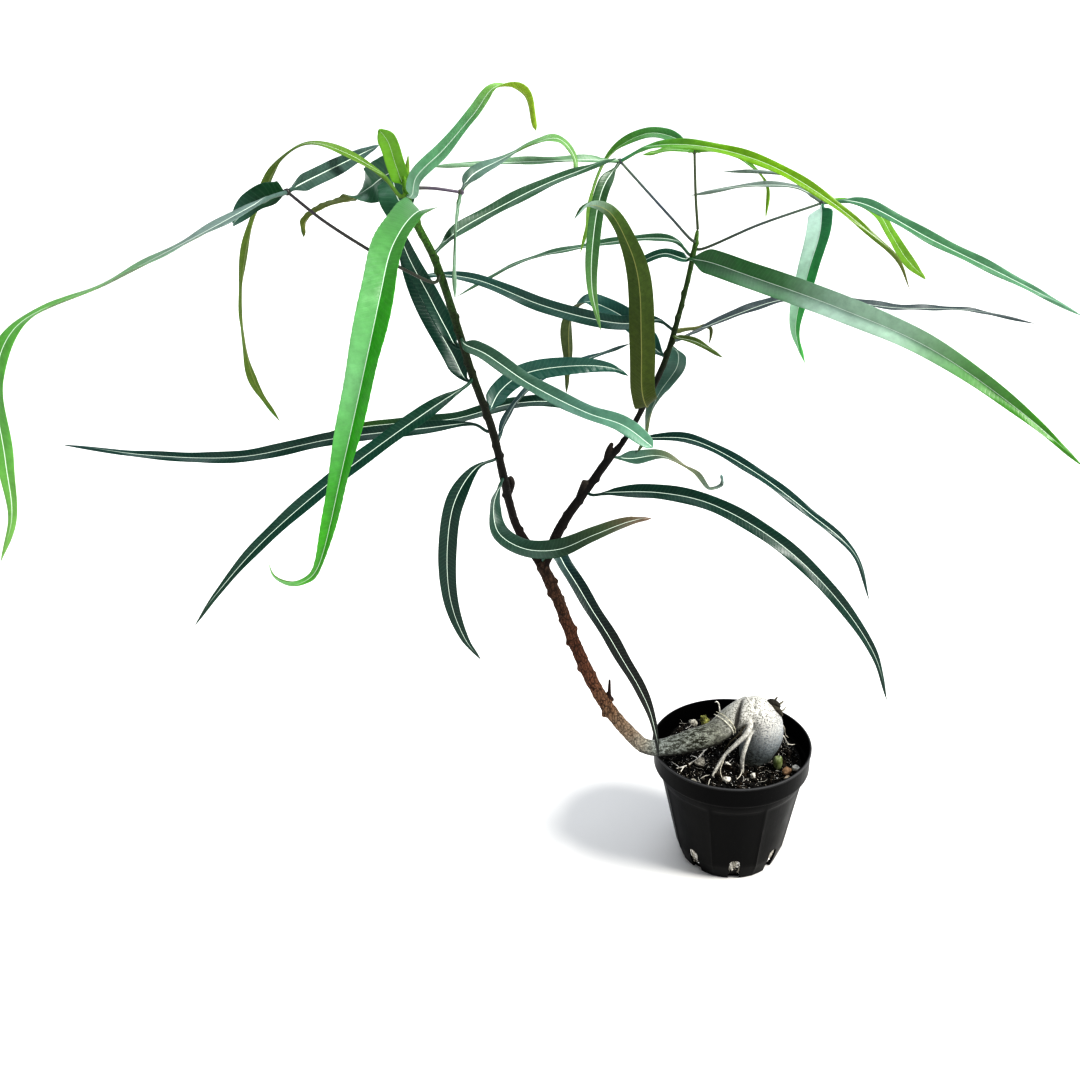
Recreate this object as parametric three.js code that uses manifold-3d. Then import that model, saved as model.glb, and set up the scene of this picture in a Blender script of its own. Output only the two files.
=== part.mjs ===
// Young Queensland bottle tree in a small black nursery pot.
// Millimetres, +Z up. The origin is the middle of the pot's flat underside.
// The pot faces the photograph's viewer along -Y, and the plant leans out over its left side, to -X.

import * as THREE from 'three';
import Module from 'manifold-3d';
import { mergeVertices } from 'three/addons/utils/BufferGeometryUtils.js';

const wasm = await Module();
wasm.setup();

// Driving sizes of the pot, a common 10 cm nursery pot
const POT = {
  rimRadius: 50,
  height: 83.5,
  footRadius: 31.5,
  bevelHeight: 11,
  bevelWidth: 4.1,
  shoulderRadius: 46.5,
  bandHeight: 15,
  lip: 0.6,
  wall: 1.2,
  floor: 1.6,
  panels: 8,
  panelDepth: 0.7,
  slotWidth: 7,
  slotHeight: 18,
  slotTurn: -94,
};

// The potting mix stands this high in the pot, and keeps the gap to the wall and to what stands in it
const SOIL_TOP = 71;
const GAP = 0.3;

const COLOURS = {
  pot: 0x17171a,
  soil: 0x2b2520,
  bark: 0x9c988c,
  leaf: 0x2c5a4b,
  youngLeaf: 0x6fae3c,
  perlite: 0xe6e4dc,
  pebble: 0x9a7d62,
  pellet: 0x8c9a6a,
  root: 0xd8d4c8,
};

function matte(colour, roughness = 0.7) {
  return new THREE.MeshStandardMaterial({ color: colour, roughness, metalness: 0 });
}

// From a closed three.js geometry to a solid that can be joined and cut, and back
function toSolid(geometry) {
  const bare = geometry.clone();
  bare.deleteAttribute('normal');
  bare.deleteAttribute('uv');
  const merged = mergeVertices(bare, 1e-4);
  return new wasm.Manifold(new wasm.Mesh({
    numProp: 3,
    vertProperties: new Float32Array(merged.attributes.position.array),
    triVerts: new Uint32Array(merged.index.array),
  }));
}

function toGeometry(solid) {
  const mesh = solid.getMesh();
  const geometry = new THREE.BufferGeometry();
  geometry.setAttribute('position', new THREE.BufferAttribute(new Float32Array(mesh.vertProperties), 3));
  geometry.setIndex(new THREE.BufferAttribute(new Uint32Array(mesh.triVerts), 1));
  geometry.computeVertexNormals();
  return geometry;
}

function joined(solids) {
  return solids.reduce((whole, next) => whole.add(next));
}

function fromLists(positions, faces) {
  const geometry = new THREE.BufferGeometry();
  geometry.setAttribute('position', new THREE.Float32BufferAttribute(positions.flat(), 3));
  geometry.setIndex(faces.flat());
  return geometry;
}

const vector = (p) => new THREE.Vector3(p[0], p[1], p[2]);
const mix = (a, b, t) => a + (b - a) * t;
const clamp = (x) => Math.min(1, Math.max(0, x));
const smooth = (x) => clamp(x) ** 2 * (3 - 2 * clamp(x));
const radians = THREE.MathUtils.degToRad;

// A value read from evenly spread keys
function keyed(keys, t) {
  const place = t * (keys.length - 1);
  const i = Math.min(keys.length - 2, Math.floor(place));
  return keys.length === 1 ? keys[0] : mix(keys[i], keys[i + 1], place - i);
}

// A round limb of changing thickness through points [x, y, z, radius], closed by a flat end at each side.
// extra thickens it all over, for the holes and gaps around it.
function limb(points, sides, perSpan, extra = 0) {
  const curve = new THREE.CatmullRomCurve3(points.map(vector), false, 'centripetal');
  const radii = points.map((p) => p[3]);
  const count = (points.length - 1) * perSpan;
  const positions = [];
  const faces = [];
  const side = new THREE.Vector3(0, 0, 1);
  if (Math.abs(curve.getTangent(0).z) > 0.9) side.set(0, 1, 0);
  for (let k = 0; k <= count; k += 1) {
    const t = k / count;
    const middle = curve.getPoint(t);
    const along = curve.getTangent(t).normalize();
    side.addScaledVector(along, -side.dot(along)).normalize();
    const other = new THREE.Vector3().crossVectors(along, side);
    const radius = keyed(radii, t) + extra;
    const shift = extra * (k === 0 ? -1 : k === count ? 1 : 0);
    for (let j = 0; j < sides; j += 1) {
      const a = (2 * Math.PI * j) / sides;
      const p = middle.clone().addScaledVector(along, shift);
      p.addScaledVector(side, radius * Math.cos(a)).addScaledVector(other, radius * Math.sin(a));
      positions.push(p.toArray());
    }
  }
  for (let k = 0; k < count; k += 1) {
    for (let j = 0; j < sides; j += 1) {
      const a = k * sides + j;
      const b = k * sides + ((j + 1) % sides);
      faces.push([a, b, b + sides], [a, b + sides, a + sides]);
    }
  }
  for (let j = 1; j < sides - 1; j += 1) {
    const last = count * sides;
    faces.push([0, j + 1, j], [last, last + j, last + j + 1]);
  }
  return toSolid(fromLists(positions, faces));
}

// The woody plant: [x, y, z, radius]. The trunk leaves the swollen base at its top, arches down across
// the pot's left rim and rises again, and forks 135 mm above the rim.
const WOOD = {
  trunk: [
    [13, -3, 111, 8.5], [1, -6, 106, 8.3], [-12, -10, 98, 7.5], [-28, -13, 94, 7.2],
    [-49, -13, 90.5, 5.2], [-57, -12, 92, 4.8], [-66, -10, 101, 4.6], [-77, -8, 116, 4.4],
    [-87, -7, 136, 4.2], [-98, -6, 166, 4], [-106, -5, 193, 3.8], [-115, -5, 218, 3.8],
  ],
  leftBranch: [
    [-114, -5, 216, 3.2], [-127, -6, 240, 2.6], [-131, -12, 259, 2.4], [-133, -18, 276, 2.4],
    [-137, -28, 307, 2.2], [-145, -40, 342, 2.1], [-151, -53, 375, 2], [-157, -67, 405, 1.9],
    [-164, -76, 425, 1.8], [-166, -78, 437, 1.5], [-166, -78, 442, 0.6],
  ],
  rightBranch: [
    [-114, -5, 216, 3.4], [-102, -2, 240, 3.1], [-84, 1, 264, 2.6], [-67, 5, 287, 2.2],
    [-53, 8, 306, 2], [-41, 12, 329, 1.8], [-31, 17, 359, 1.5], [-24, 20, 387, 1.5], [-22, 21, 398, 1.2],
  ],
  caudex: [
    [6, -3, 113, 4], [12, -3, 110, 8], [18, -2, 102, 11], [20, -2, 91, 12.5],
    [17, -1, 79, 11.5], [14, -1, 68, 9], [11, -1, 52, 5], [9, 0, 36, 2.5],
  ],
  frontRoot: [
    [9, -7, 114, 2.4], [9, -12, 107, 2.4], [5, -16, 99, 2.2], [-1, -17, 92, 2],
    [-7, -17, 84, 1.6], [-11, -17, 76, 1.3], [-13, -18, 68, 1.1], [-14, -18, 60, 0.9],
  ],
  middleRoot: [
    [12, -8, 101, 1.8], [6, -16, 90, 1.8], [4, -16.5, 80, 1.7], [4, -16, 71, 1.5], [4, -15, 60, 1.1],
  ],
  firstStub: [[-92, 0, 254, 2.6], [-87, 1, 263, 2.9], [-85, 1, 268, 2.6]],
  secondStub: [[-69, 5, 285, 2], [-67, 4, 292, 2.1], [-65, 4, 296, 1.8]],
  forkStub: [[-131, -11, 264, 1.6], [-129, -11, 271, 1.9], [-130, -12, 275, 1.6]],
  twig: [[-78, -8, 117, 1.1], [-77.5, -8, 128, 0.8], [-77, -8, 139, 0.5]],
};

// How many flat sides each limb is made of, where it isn't eight
const SIDES = { caudex: 16, trunk: 12, middleRoot: 7, secondStub: 7, forkStub: 7, twig: 6 };

function wood(extra) {
  return joined(Object.entries(WOOD).map(([name, points]) => limb(points, SIDES[name] ?? 8, 2, extra)));
}

// The leaves. A blade is a long strap with a shallow fold along its midrib, on a short thin stalk.
// route: points from stalk to tip. wide: its widest. turn: how far it is turned about its route,
// in degrees, from lying level to either side, at evenly spread places.
// fold: how far each half is lifted. swell: the part of the blade that it takes to reach its width.
// taper: where the blade starts to narrow. point: how blunt the tip is, blunter for a smaller power.
// heading: the compass angle that the level side is taken from, where it isn't root to tip.
const LEAVES = {
  leaf_trunk: {
    on: 'trunk', wide: 9.5, turn: [-35, -30, -30, -35, -40],
    route: [[-109, -9, 220], [-103, -17, 222], [-90, -26, 202], [-74, -33, 171], [-62, -37, 145],
      [-57, -39, 125], [-54, -40, 107]],
  },
  leaf_left_01: {
    on: 'leftBranch', wide: 11, taper: 0.6, turn: [25, -5, -46, -48, -36],
    route: [[-134, -22, 277], [-139, -36, 268], [-137, -47, 257], [-124, -56, 251], [-106, -62, 252],
      [-87, -66, 261], [-67, -64, 267], [-57, -62, 267]],
  },
  leaf_left_02: {
    on: 'leftBranch', wide: 10.5, swell: 0.25, turn: [50, 45, 50, 55, 65],
    route: [[-137, -24, 290], [-147, -30, 288], [-159, -37, 273], [-165, -41, 249], [-166, -43, 217],
      [-160, -43, 192], [-152, -42, 177]],
  },
  leaf_left_03: {
    on: 'leftBranch', wide: 7, turn: [15, 10, 0, -5],
    route: [[-135, -22, 299], [-131, -12, 306], [-124, 0, 314], [-108, 11, 324], [-84, 22, 330],
      [-58, 34, 335]],
  },
  leaf_left_04: {
    on: 'leftBranch', wide: 8, turn: [40, 60, 60, 50, 40],
    route: [[-140, -27, 307], [-147, -20, 309], [-175, -10, 305], [-227, -2, 299], [-280, 2, 290],
      [-330, 6, 292], [-382, 10, 300]],
  },
  leaf_left_05: {
    on: 'leftBranch', wide: 11, swell: 0.1, turn: [-55, -65, -70, -75],
    route: [[-138, -30, 319], [-132, -22, 327], [-120, -17, 334], [-94, -12, 336], [-72, -9, 333],
      [-63, -8, 328]],
  },
  leaf_left_06: {
    on: 'leftBranch', wide: 8.6, turn: [50, 55, 55, 55],
    route: [[-147, -44, 338], [-162, -56, 332], [-192, -65, 315], [-226, -72, 293], [-257, -78, 269],
      [-280, -81, 246], [-294, -82, 229]],
  },
  leaf_left_07: {
    on: 'leftBranch', wide: 11, turn: [55, 60, 60],
    route: [[-148, -37, 338], [-155, -31, 351], [-166, -24, 372], [-173, -22, 389], [-178, -22, 408]],
  },
  leaf_left_08: {
    on: 'leftBranch', wide: 10, turn: [65, 75, 75],
    route: [[-151, -45, 357], [-156, -42, 366], [-164, -40, 384], [-171, -42, 401], [-176, -52, 423]],
  },
  leaf_left_09: {
    on: 'leftBranch', wide: 10, swell: 0.1, taper: 0.9, turn: [-40, -35, -35, -40],
    route: [[-147, -54, 361], [-137, -63, 358], [-116, -80, 346.5], [-90, -95, 335.5],
      [-74, -101, 330.5], [-61, -106, 321]],
  },
  leaf_left_10: {
    on: 'leftBranch', wide: 7, turn: [-30, -45, -50, -50, -40],
    route: [[-155, -65, 408], [-147, -58, 414], [-126, -46, 423], [-102, -37, 432], [-69, -30, 441]],
  },
  leaf_left_11: {
    on: 'leftBranch', wide: 17, heading: 150, fold: 10, swell: 0.08, turn: [80, 68, 60, 90, -13, -8, 10],
    route: [[-166, -72, 425], [-171, -67, 432], [-173, -59, 438], [-175, -51, 441], [-181, -45, 438],
      [-187, -38, 434], [-197, -34, 429], [-210, -34, 426], [-220, -36, 420], [-221, -38, 413]],
  },
  leaf_left_12: {
    on: 'leftBranch', wide: 16, heading: 300, fold: 28, swell: 0.08, taper: 0.3, point: 1,
    turn: [45, 15, -10, -35, -50, -52, -55, -60, -70],
    route: [[-163, -81, 425], [-159, -94, 429], [-161, -113, 429], [-164, -132, 426], [-167, -150, 420],
      [-170, -165, 408], [-175, -172, 391], [-189, -176, 348], [-206, -176, 301], [-211, -175, 296],
      [-218, -174, 294], [-225, -172, 297], [-227, -170, 303]],
  },
  leaf_left_13: {
    on: 'leftBranch', wide: 9, swell: 0.08, taper: 0.2, turn: [-94, -90, -88, -71, -60, 62, 80],
    route: [[-163, -82, 434], [-160, -87, 442], [-147, -92, 453], [-132, -98, 465], [-122, -102, 475],
      [-112, -100, 474], [-108, -100, 459]],
  },
  leaf_left_14: {
    on: 'leftBranch', wide: 5.5, fold: 5, taper: 0.8, turn: [30, 25, 20, -26, -19, -16, 0, -50, 0],
    route: [[-168, -82, 434], [-174, -86, 443], [-188, -88, 453], [-204, -87, 458], [-216, -84, 453],
      [-229, -80, 437], [-242, -78, 408], [-247, -78, 374], [-245, -78, 353], [-236, -78, 334]],
  },
  leaf_left_15: {
    on: 'leftBranch', wide: 8.5, taper: 0.8, turn: [125, 130, 125],
    route: [[-167, -77, 439], [-169, -80, 447], [-171, -84, 457], [-174, -86, 462]],
  },
  leaf_left_bud: {
    on: 'leftBranch', wide: 2.4, turn: [100, 100],
    route: [[-165, -76, 438], [-165, -74, 443], [-164, -72, 450]],
  },
  leaf_right_01: {
    on: 'rightBranch', wide: 9.4, turn: [-40, -45, -50, -60, -65],
    route: [[-85, -2, 258], [-72, -13, 263], [-47, -24, 265.5], [-22, -36, 262.5], [11, -52, 245.5],
      [40, -64, 217.5], [62, -70, 184], [71, -71, 155]],
  },
  leaf_right_02: {
    on: 'rightBranch', wide: 9.5, turn: [-60, -35, -15, 0, 15],
    route: [[-71, 4, 278], [-60, 13, 273], [-42, 26, 269], [-20, 42, 252], [-8, 49, 237], [0, 51, 239],
      [-1, 51, 246]],
  },
  leaf_right_03: {
    on: 'rightBranch', wide: 6.5, turn: [-30, -35, -40, -45, -55],
    route: [[-64, 4, 290], [-54, -4, 291], [-30, -14, 292], [0, -30, 279], [29, -44, 258],
      [52, -53, 237], [62, -55, 209]],
  },
  leaf_right_04: {
    on: 'rightBranch', wide: 8, turn: [45, 45, 50, 45],
    route: [[-64, 4, 291], [-75, 9, 297], [-97, 16, 307], [-125, 18, 308], [-160, 14, 302],
      [-193, 14, 301], [-225, 15, 298], [-251, 14, 290]],
  },
  leaf_right_05: {
    on: 'rightBranch', wide: 14.5, swell: 0.03, turn: [-60, -20, -20, -25, -20, -60],
    route: [[-48, 5, 311], [-53, -10, 308], [-57, -22, 320], [-58, -30, 350], [-60, -37, 385],
      [-65, -41, 402], [-75, -45, 419], [-85, -46, 422], [-91, -46, 416]],
  },
  leaf_right_06: {
    on: 'rightBranch', wide: 12, turn: [40, 60, 50, 0, -30, -40],
    route: [[-40, 14, 331], [-45, 26, 334], [-55, 37, 345], [-70, 46, 353.5], [-82, 46, 357.5],
      [-91, 45, 349], [-93, 45, 324], [-95, 44, 305]],
  },
  leaf_right_07: {
    on: 'rightBranch', wide: 7.5, turn: [45, 55, 45, 5, -15],
    route: [[-35, 19, 335], [-31, 28, 329], [-31, 35, 319], [-41, 34, 305], [-47, 27, 295],
      [-51, 19, 283], [-56, 16, 276]],
  },
  leaf_right_08: {
    on: 'rightBranch', wide: 6, turn: [-5, -20, -30, -20, -30],
    route: [[-34, 16, 340], [-24, 23, 342], [6, 43, 347], [34, 59, 350], [67, 76, 345], [113, 94, 334],
      [165, 107, 327], [213, 116, 314]],
  },
  leaf_right_09: {
    on: 'rightBranch', wide: 4.5, turn: [-25, -20],
    route: [[-35, 11, 343], [-25, 1, 342], [-12, -7, 335]],
  },
  leaf_right_10: {
    on: 'rightBranch', wide: 4, turn: [-190, -200, -220, -280],
    route: [[-35, 20, 344], [-27, 29, 343], [-18, 35, 342], [-14, 38, 342], [-11, 39, 340],
      [-11, 39, 335], [-12, 39, 331]],
  },
  leaf_right_11: {
    on: 'rightBranch', wide: 9, turn: [35, 65, 65, 50, 45],
    route: [[-36, 17, 346], [-43, 23, 350], [-61, 28, 348], [-81, 33, 351], [-108, 38, 359],
      [-144, 43, 374], [-167, 46, 377], [-184, 48, 374]],
  },
  leaf_right_12: {
    on: 'rightBranch', wide: 15, swell: 0.08, taper: 0.3, turn: [-65, -65, -60, -50],
    route: [[-27, 16, 384], [-19, 4, 384], [-2, -18, 380], [35, -53, 369], [70, -86, 355],
      [105, -112, 330], [128, -126, 309]],
  },
  leaf_right_13: {
    on: 'rightBranch', wide: 6.5, turn: [35, 50, 60],
    route: [[-30, 17, 384], [-39, 24, 386], [-49, 31, 382], [-57, 37, 376]],
  },
  leaf_right_14: {
    on: 'rightBranch', wide: 5.5, turn: [40, 40, 25, 20, 15],
    route: [[-26, 23, 385], [-32, 32, 391], [-45, 41, 392], [-75, 53, 388], [-116, 66, 379],
      [-140, 71, 368], [-157, 73, 359]],
  },
};

// Divided leaves: leaflets spread from the end of a long thin stalk
const DIVIDED_LEAVES = {
  divided_leaf_left_1: {
    on: 'leftBranch', stalk: [[-157, -69, 394], [-169, -76, 401], [-198, -98, 426], [-211, -110, 441]],
    leaflets: [
      {
        wide: 7.5, turn: [-70, -85, -85, -80],
        route: [[-207, -103, 443], [-194, -84, 448], [-178, -58, 454]],
      },
      {
        wide: 13, swell: 0.12, taper: 0.6, turn: [40, 50, 50, 45],
        route: [[-216, -109, 439.5], [-222, -107, 438.5], [-229, -105, 434.5], [-237, -103, 428.5]],
      },
      {
        wide: 8, fold: 6, taper: 0.6, turn: [30, 17, 7, -2, -9, 10, 32, 44, 46],
        route: [[-217, -122, 440], [-238, -149, 431], [-265, -178, 420], [-289, -206, 411],
          [-296, -214, 396], [-298, -218, 368], [-300, -220, 347], [-308, -220, 331]],
      },
    ],
  },
  divided_leaf_left_2: {
    on: 'leftBranch', stalk: [[-163, -72, 436], [-155, -65, 435], [-143, -58, 432]],
    leaflets: [
      {
        wide: 4.5, fold: 5, turn: [75, 85, 90],
        route: [[-145, -61, 424], [-148, -64, 402], [-149, -64, 385]],
      },
      {
        wide: 7, fold: 8, swell: 0.1, taper: 0.72, turn: [-9, -50, -12, 7, -2, -65, -100],
        route: [[-138, -50, 438], [-125, -36, 443], [-108, -24, 449], [-96, -19, 450], [-89, -17, 442],
          [-88, -16, 432]],
      },
    ],
  },
  divided_leaf_right_1: {
    on: 'rightBranch', stalk: [[-25, 18, 393], [-38, 12, 407], [-65, -2, 437]],
    leaflets: [
      {
        wide: 6, turn: [30, 30],
        route: [[-83, -9, 439], [-110, -15, 440], [-159, -25, 441]],
      },
      {
        wide: 7.5, turn: [30, 40, 40],
        route: [[-75, -13, 425], [-81, -20, 400], [-82, -21, 378], [-78, -19, 356]],
      },
      {
        wide: 4.8, turn: [-35, -50, -55, -45, -35],
        route: [[-51, -13, 444], [-27, -30, 446], [0, -45, 440], [25, -56, 425], [46, -62, 407],
          [59, -63, 393], [66, -62, 378]],
      },
    ],
  },
  divided_leaf_right_2: {
    on: 'rightBranch', stalk: [[-21, 20, 388], [10, 16, 400], [42, 12, 410]],
    leaflets: [
      {
        wide: 14, swell: 0.08, taper: 0.12, point: 0.9, turn: [-15, -10, -15],
        route: [[38, -1, 396], [31, -9, 378], [25, -13, 350], [31, -12, 331]],
      },
      {
        wide: 5, turn: [15, 25, 25],
        route: [[31, 20, 417], [8, 33, 418], [-22, 47, 413]],
      },
      {
        wide: 3.5, turn: [0, 15, 20],
        route: [[33, 28, 421], [16, 42, 424], [-3, 54, 424]],
      },
      {
        wide: 7.5, turn: [-35, -45, -50],
        route: [[59, 7, 410], [95, -8, 391], [130, -26, 373], [161, -42, 356]],
      },
      {
        wide: 6.5, fold: 8, swell: 0.5, taper: 0.8, turn: [-25, -45, -75, -100, -90],
        route: [[55, 21, 410], [78, 31, 400], [87, 36, 389], [98, 38, 374], [110, 38, 362]],
      },
    ],
  },
  divided_leaf_right_3: {
    on: 'rightBranch', stalk: [[-22, 21, 399], [-23, 22, 414], [-24, 22, 438]],
    leaflets: [
      {
        wide: 7, turn: [55, 55, 30, 0, -15],
        route: [[-30, 29, 443], [-46, 37, 447], [-66, 44, 437], [-75, 46, 421], [-80, 47, 398],
          [-84, 47, 385]],
      },
      {
        wide: 5, turn: [-35, -40, -40, -30],
        route: [[-10, 34, 437], [8, 46, 429], [21, 51, 416], [21, 51, 398]],
      },
      {
        wide: 4.5, turn: [30, 20],
        route: [[-37, 13, 440], [-53, 4, 439]],
      },
      {
        wide: 3.5, turn: [-30, -20],
        route: [[-15, 11, 439], [-5, 2, 437]],
      },
    ],
  },
};

const STALK_RADIUS = 0.9;
const STALK_PART = 0.02;
const BLADE_THICKNESS = 0.7;

// Half the width of a blade along its route, 0 at the stalk's foot and 1 at the tip
function halfWidth(t, wide, swell, taper, point) {
  const s = clamp((t - STALK_PART) / (1 - STALK_PART));
  const grown = smooth(s / swell) ** 0.8;
  const narrowed = Math.cos((clamp((s - taper) / (1 - taper)) * Math.PI) / 2) ** point;
  return Math.max(STALK_RADIUS * mix(1, 0.45, clamp(t * 3)), (wide / 2) * grown * narrowed);
}

// A blade as one closed solid: a row of six-cornered sections, thick at the stalk and thin in the blade.
// Both faces are split along the same diagonals, so that the thickness holds where the blade is twisted.
function blade(leaf, steps) {
  const { route, wide, turn, heading, fold = 18, swell = 0.16, taper = 0.42, point = 0.75 } = leaf;
  const curve = new THREE.CatmullRomCurve3(route.map(vector), false, 'centripetal');
  const span = vector(route[route.length - 1]).sub(vector(route[0]));
  const bearing = heading === undefined ? Math.atan2(span.y, span.x) : radians(heading);
  const level = new THREE.Vector3(Math.sin(bearing), -Math.cos(bearing), 0);
  const positions = [];
  const faces = [];
  for (let k = 0; k <= steps; k += 1) {
    const t = k / steps;
    const middle = curve.getPointAt(t);
    const along = curve.getTangentAt(t).normalize();
    const side = level.clone().addScaledVector(along, -level.dot(along)).normalize();
    const up = new THREE.Vector3().crossVectors(side, along);
    const angle = radians(keyed(turn, t));
    const across = side.clone().multiplyScalar(Math.cos(angle)).addScaledVector(up, Math.sin(angle));
    const face = up.clone().multiplyScalar(Math.cos(angle)).addScaledVector(side, -Math.sin(angle));
    const half = halfWidth(t, wide, swell, taper, point);
    const opened = smooth((half - STALK_RADIUS) / 1.5);
    const lift = radians(fold) * opened;
    const edge = mix(0.5 * STALK_RADIUS, BLADE_THICKNESS / 2, opened);
    const rib = mix(STALK_RADIUS * mix(1, 0.5, t), BLADE_THICKNESS / 2 + 0.1, opened);
    const corners = [[-1, 1], [0, 1], [1, 1], [1, -1], [0, -1], [-1, -1]];
    corners.forEach(([x, z]) => {
      const p = middle.clone().addScaledVector(across, x * half * Math.cos(lift));
      p.addScaledVector(face, Math.abs(x) * half * Math.sin(lift) + z * (x === 0 ? rib : edge));
      positions.push(p.toArray());
    });
  }
  for (let k = 0; k < steps; k += 1) {
    for (let j = 0; j < 6; j += 1) {
      const a = 6 * k + j;
      const b = 6 * k + ((j + 1) % 6);
      if (j < 3) faces.push([a, b, b + 6], [a, b + 6, a + 6]);
      else faces.push([a, b, a + 6], [b, b + 6, a + 6]);
    }
  }
  const last = 6 * steps;
  faces.push([0, 4, 1], [0, 5, 4], [1, 3, 2], [1, 4, 3]);
  faces.push([last, last + 1, last + 4], [last, last + 4, last + 5]);
  faces.push([last + 1, last + 2, last + 3], [last + 1, last + 3, last + 4]);
  return toSolid(fromLists(positions, faces));
}

function stepsFor(route) {
  const curve = new THREE.CatmullRomCurve3(route.map(vector), false, 'centripetal');
  return Math.round(6 + curve.getLength() / 28);
}

// The point on a branch's axis that is nearest to a leaf's foot, so that the stalk starts inside the bark
function footOn(branch, point) {
  const curve = new THREE.CatmullRomCurve3(WOOD[branch].map(vector), false, 'centripetal');
  const places = curve.getPoints(300);
  places.sort((a, b) => a.distanceTo(vector(point)) - b.distanceTo(vector(point)));
  return places[0].toArray();
}

function dividedLeaf({ on, stalk, leaflets }) {
  const hub = stalk[stalk.length - 1];
  const stalkPoints = [footOn(on, stalk[0]), ...stalk].map((p) => [...p, STALK_RADIUS]);
  const knob = new THREE.IcosahedronGeometry(1.9, 0).translate(...hub);
  const blades = leaflets.map((leaflet) => {
    const whole = { ...leaflet, route: [hub, ...leaflet.route] };
    return blade(whole, stepsFor(whole.route));
  });
  return joined([limb(stalkPoints, 6, 3), toSolid(knob), ...blades]);
}

// The pot's outer radius at a height: a bevelled foot, then a straight taper up to the band under the rim
function potRadius(z) {
  const { footRadius, bevelHeight, bevelWidth, shoulderRadius, height, bandHeight } = POT;
  const bevelTop = footRadius + bevelWidth;
  if (z < bevelHeight) return mix(footRadius, bevelTop, z / bevelHeight);
  return mix(bevelTop, shoulderRadius, clamp((z - bevelHeight) / (height - bandHeight - bevelHeight)));
}

// The pot: a thin tapered wall with shallow flat panels, a band under the rim and drain slots at the foot
function potSolid() {
  const { rimRadius, height, bevelHeight, bandHeight, lip, wall, floor, panels, panelDepth, slotTurn } = POT;
  const bandFoot = height - bandHeight;
  const band = rimRadius - lip;
  const panelTop = bandFoot - 8;
  const panelFoot = bevelHeight + 4;
  const steps = 6;
  const around = panels * steps;
  const outside = [
    [0, 0, 0], [potRadius(0), 0, 0.3], [potRadius(bevelHeight), bevelHeight, 1],
    [potRadius(panelFoot), panelFoot, 1], [potRadius(panelTop), panelTop, 0.8],
    [potRadius(bandFoot), bandFoot, 0], [band - 0.3, bandFoot + 1, 0], [band, height - 2, 0],
    [rimRadius, height - 1.6, 0], [rimRadius, height, 0],
  ];
  const inside = [
    [rimRadius - wall, height, 0], [band - 0.3 - wall, bandFoot + 2, 0],
    [potRadius(bandFoot) - wall, bandFoot - 1, 0], [potRadius(panelFoot) - wall, panelFoot, 1],
    [potRadius(bevelHeight) - wall, bevelHeight, 1], [potRadius(floor) - wall, floor, 0.3], [0, floor, 0],
  ];
  const profile = [...outside, ...inside];
  const positions = [];
  const faces = [];
  profile.forEach(([radius, z, panelled]) => {
    for (let j = 0; j < around; j += 1) {
      const a = radians(slotTurn) + (2 * Math.PI * j) / around;
      const place = Math.abs(((j + steps / 2) % steps) - steps / 2) / (steps / 2);
      const r = radius - panelDepth * panelled * (1 - place ** 4) * (radius > 0 ? 1 : 0);
      positions.push([r * Math.cos(a), r * Math.sin(a), z]);
    }
  });
  for (let k = 0; k < profile.length - 1; k += 1) {
    for (let j = 0; j < around; j += 1) {
      const a = k * around + j;
      const b = k * around + ((j + 1) % around);
      if (k === profile.length - 2) faces.push([a, b, b + around]);
      else if (k === 0) faces.push([a, b + around, a + around]);
      else faces.push([a, b, b + around], [a, b + around, a + around]);
    }
  }
  return toSolid(fromLists(positions, faces));
}

// A round-topped drain slot in the middle of each panel's foot
function drainSlots() {
  const { panels, slotWidth, slotHeight, slotTurn, footRadius } = POT;
  const slot = new THREE.Shape();
  slot.moveTo(-slotWidth / 2, -1);
  slot.lineTo(slotWidth / 2, -1);
  slot.lineTo(slotWidth / 2, slotHeight - slotWidth / 2);
  slot.absarc(0, slotHeight - slotWidth / 2, slotWidth / 2, 0, Math.PI);
  const tool = new THREE.ExtrudeGeometry(slot, { depth: 12, bevelEnabled: false, curveSegments: 6 });
  tool.rotateX(Math.PI / 2);
  return joined(Array.from({ length: panels }, (_, k) => {
    const placed = tool.clone();
    placed.translate(0, footRadius + 9.5, 0);
    placed.rotateZ(radians(slotTurn - 90 + (360 * k) / panels));
    return toSolid(placed);
  }));
}

// How high the potting mix stands at a place: a few low mounds, a little higher at the back
function soilHeight(x, y) {
  const mounds = 0.8 * Math.sin(0.21 * x + 1) * Math.cos(0.19 * y) + 0.5 * Math.sin(0.13 * x + 0.17 * y);
  return SOIL_TOP + mounds + 0.03 * (y - x);
}

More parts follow.
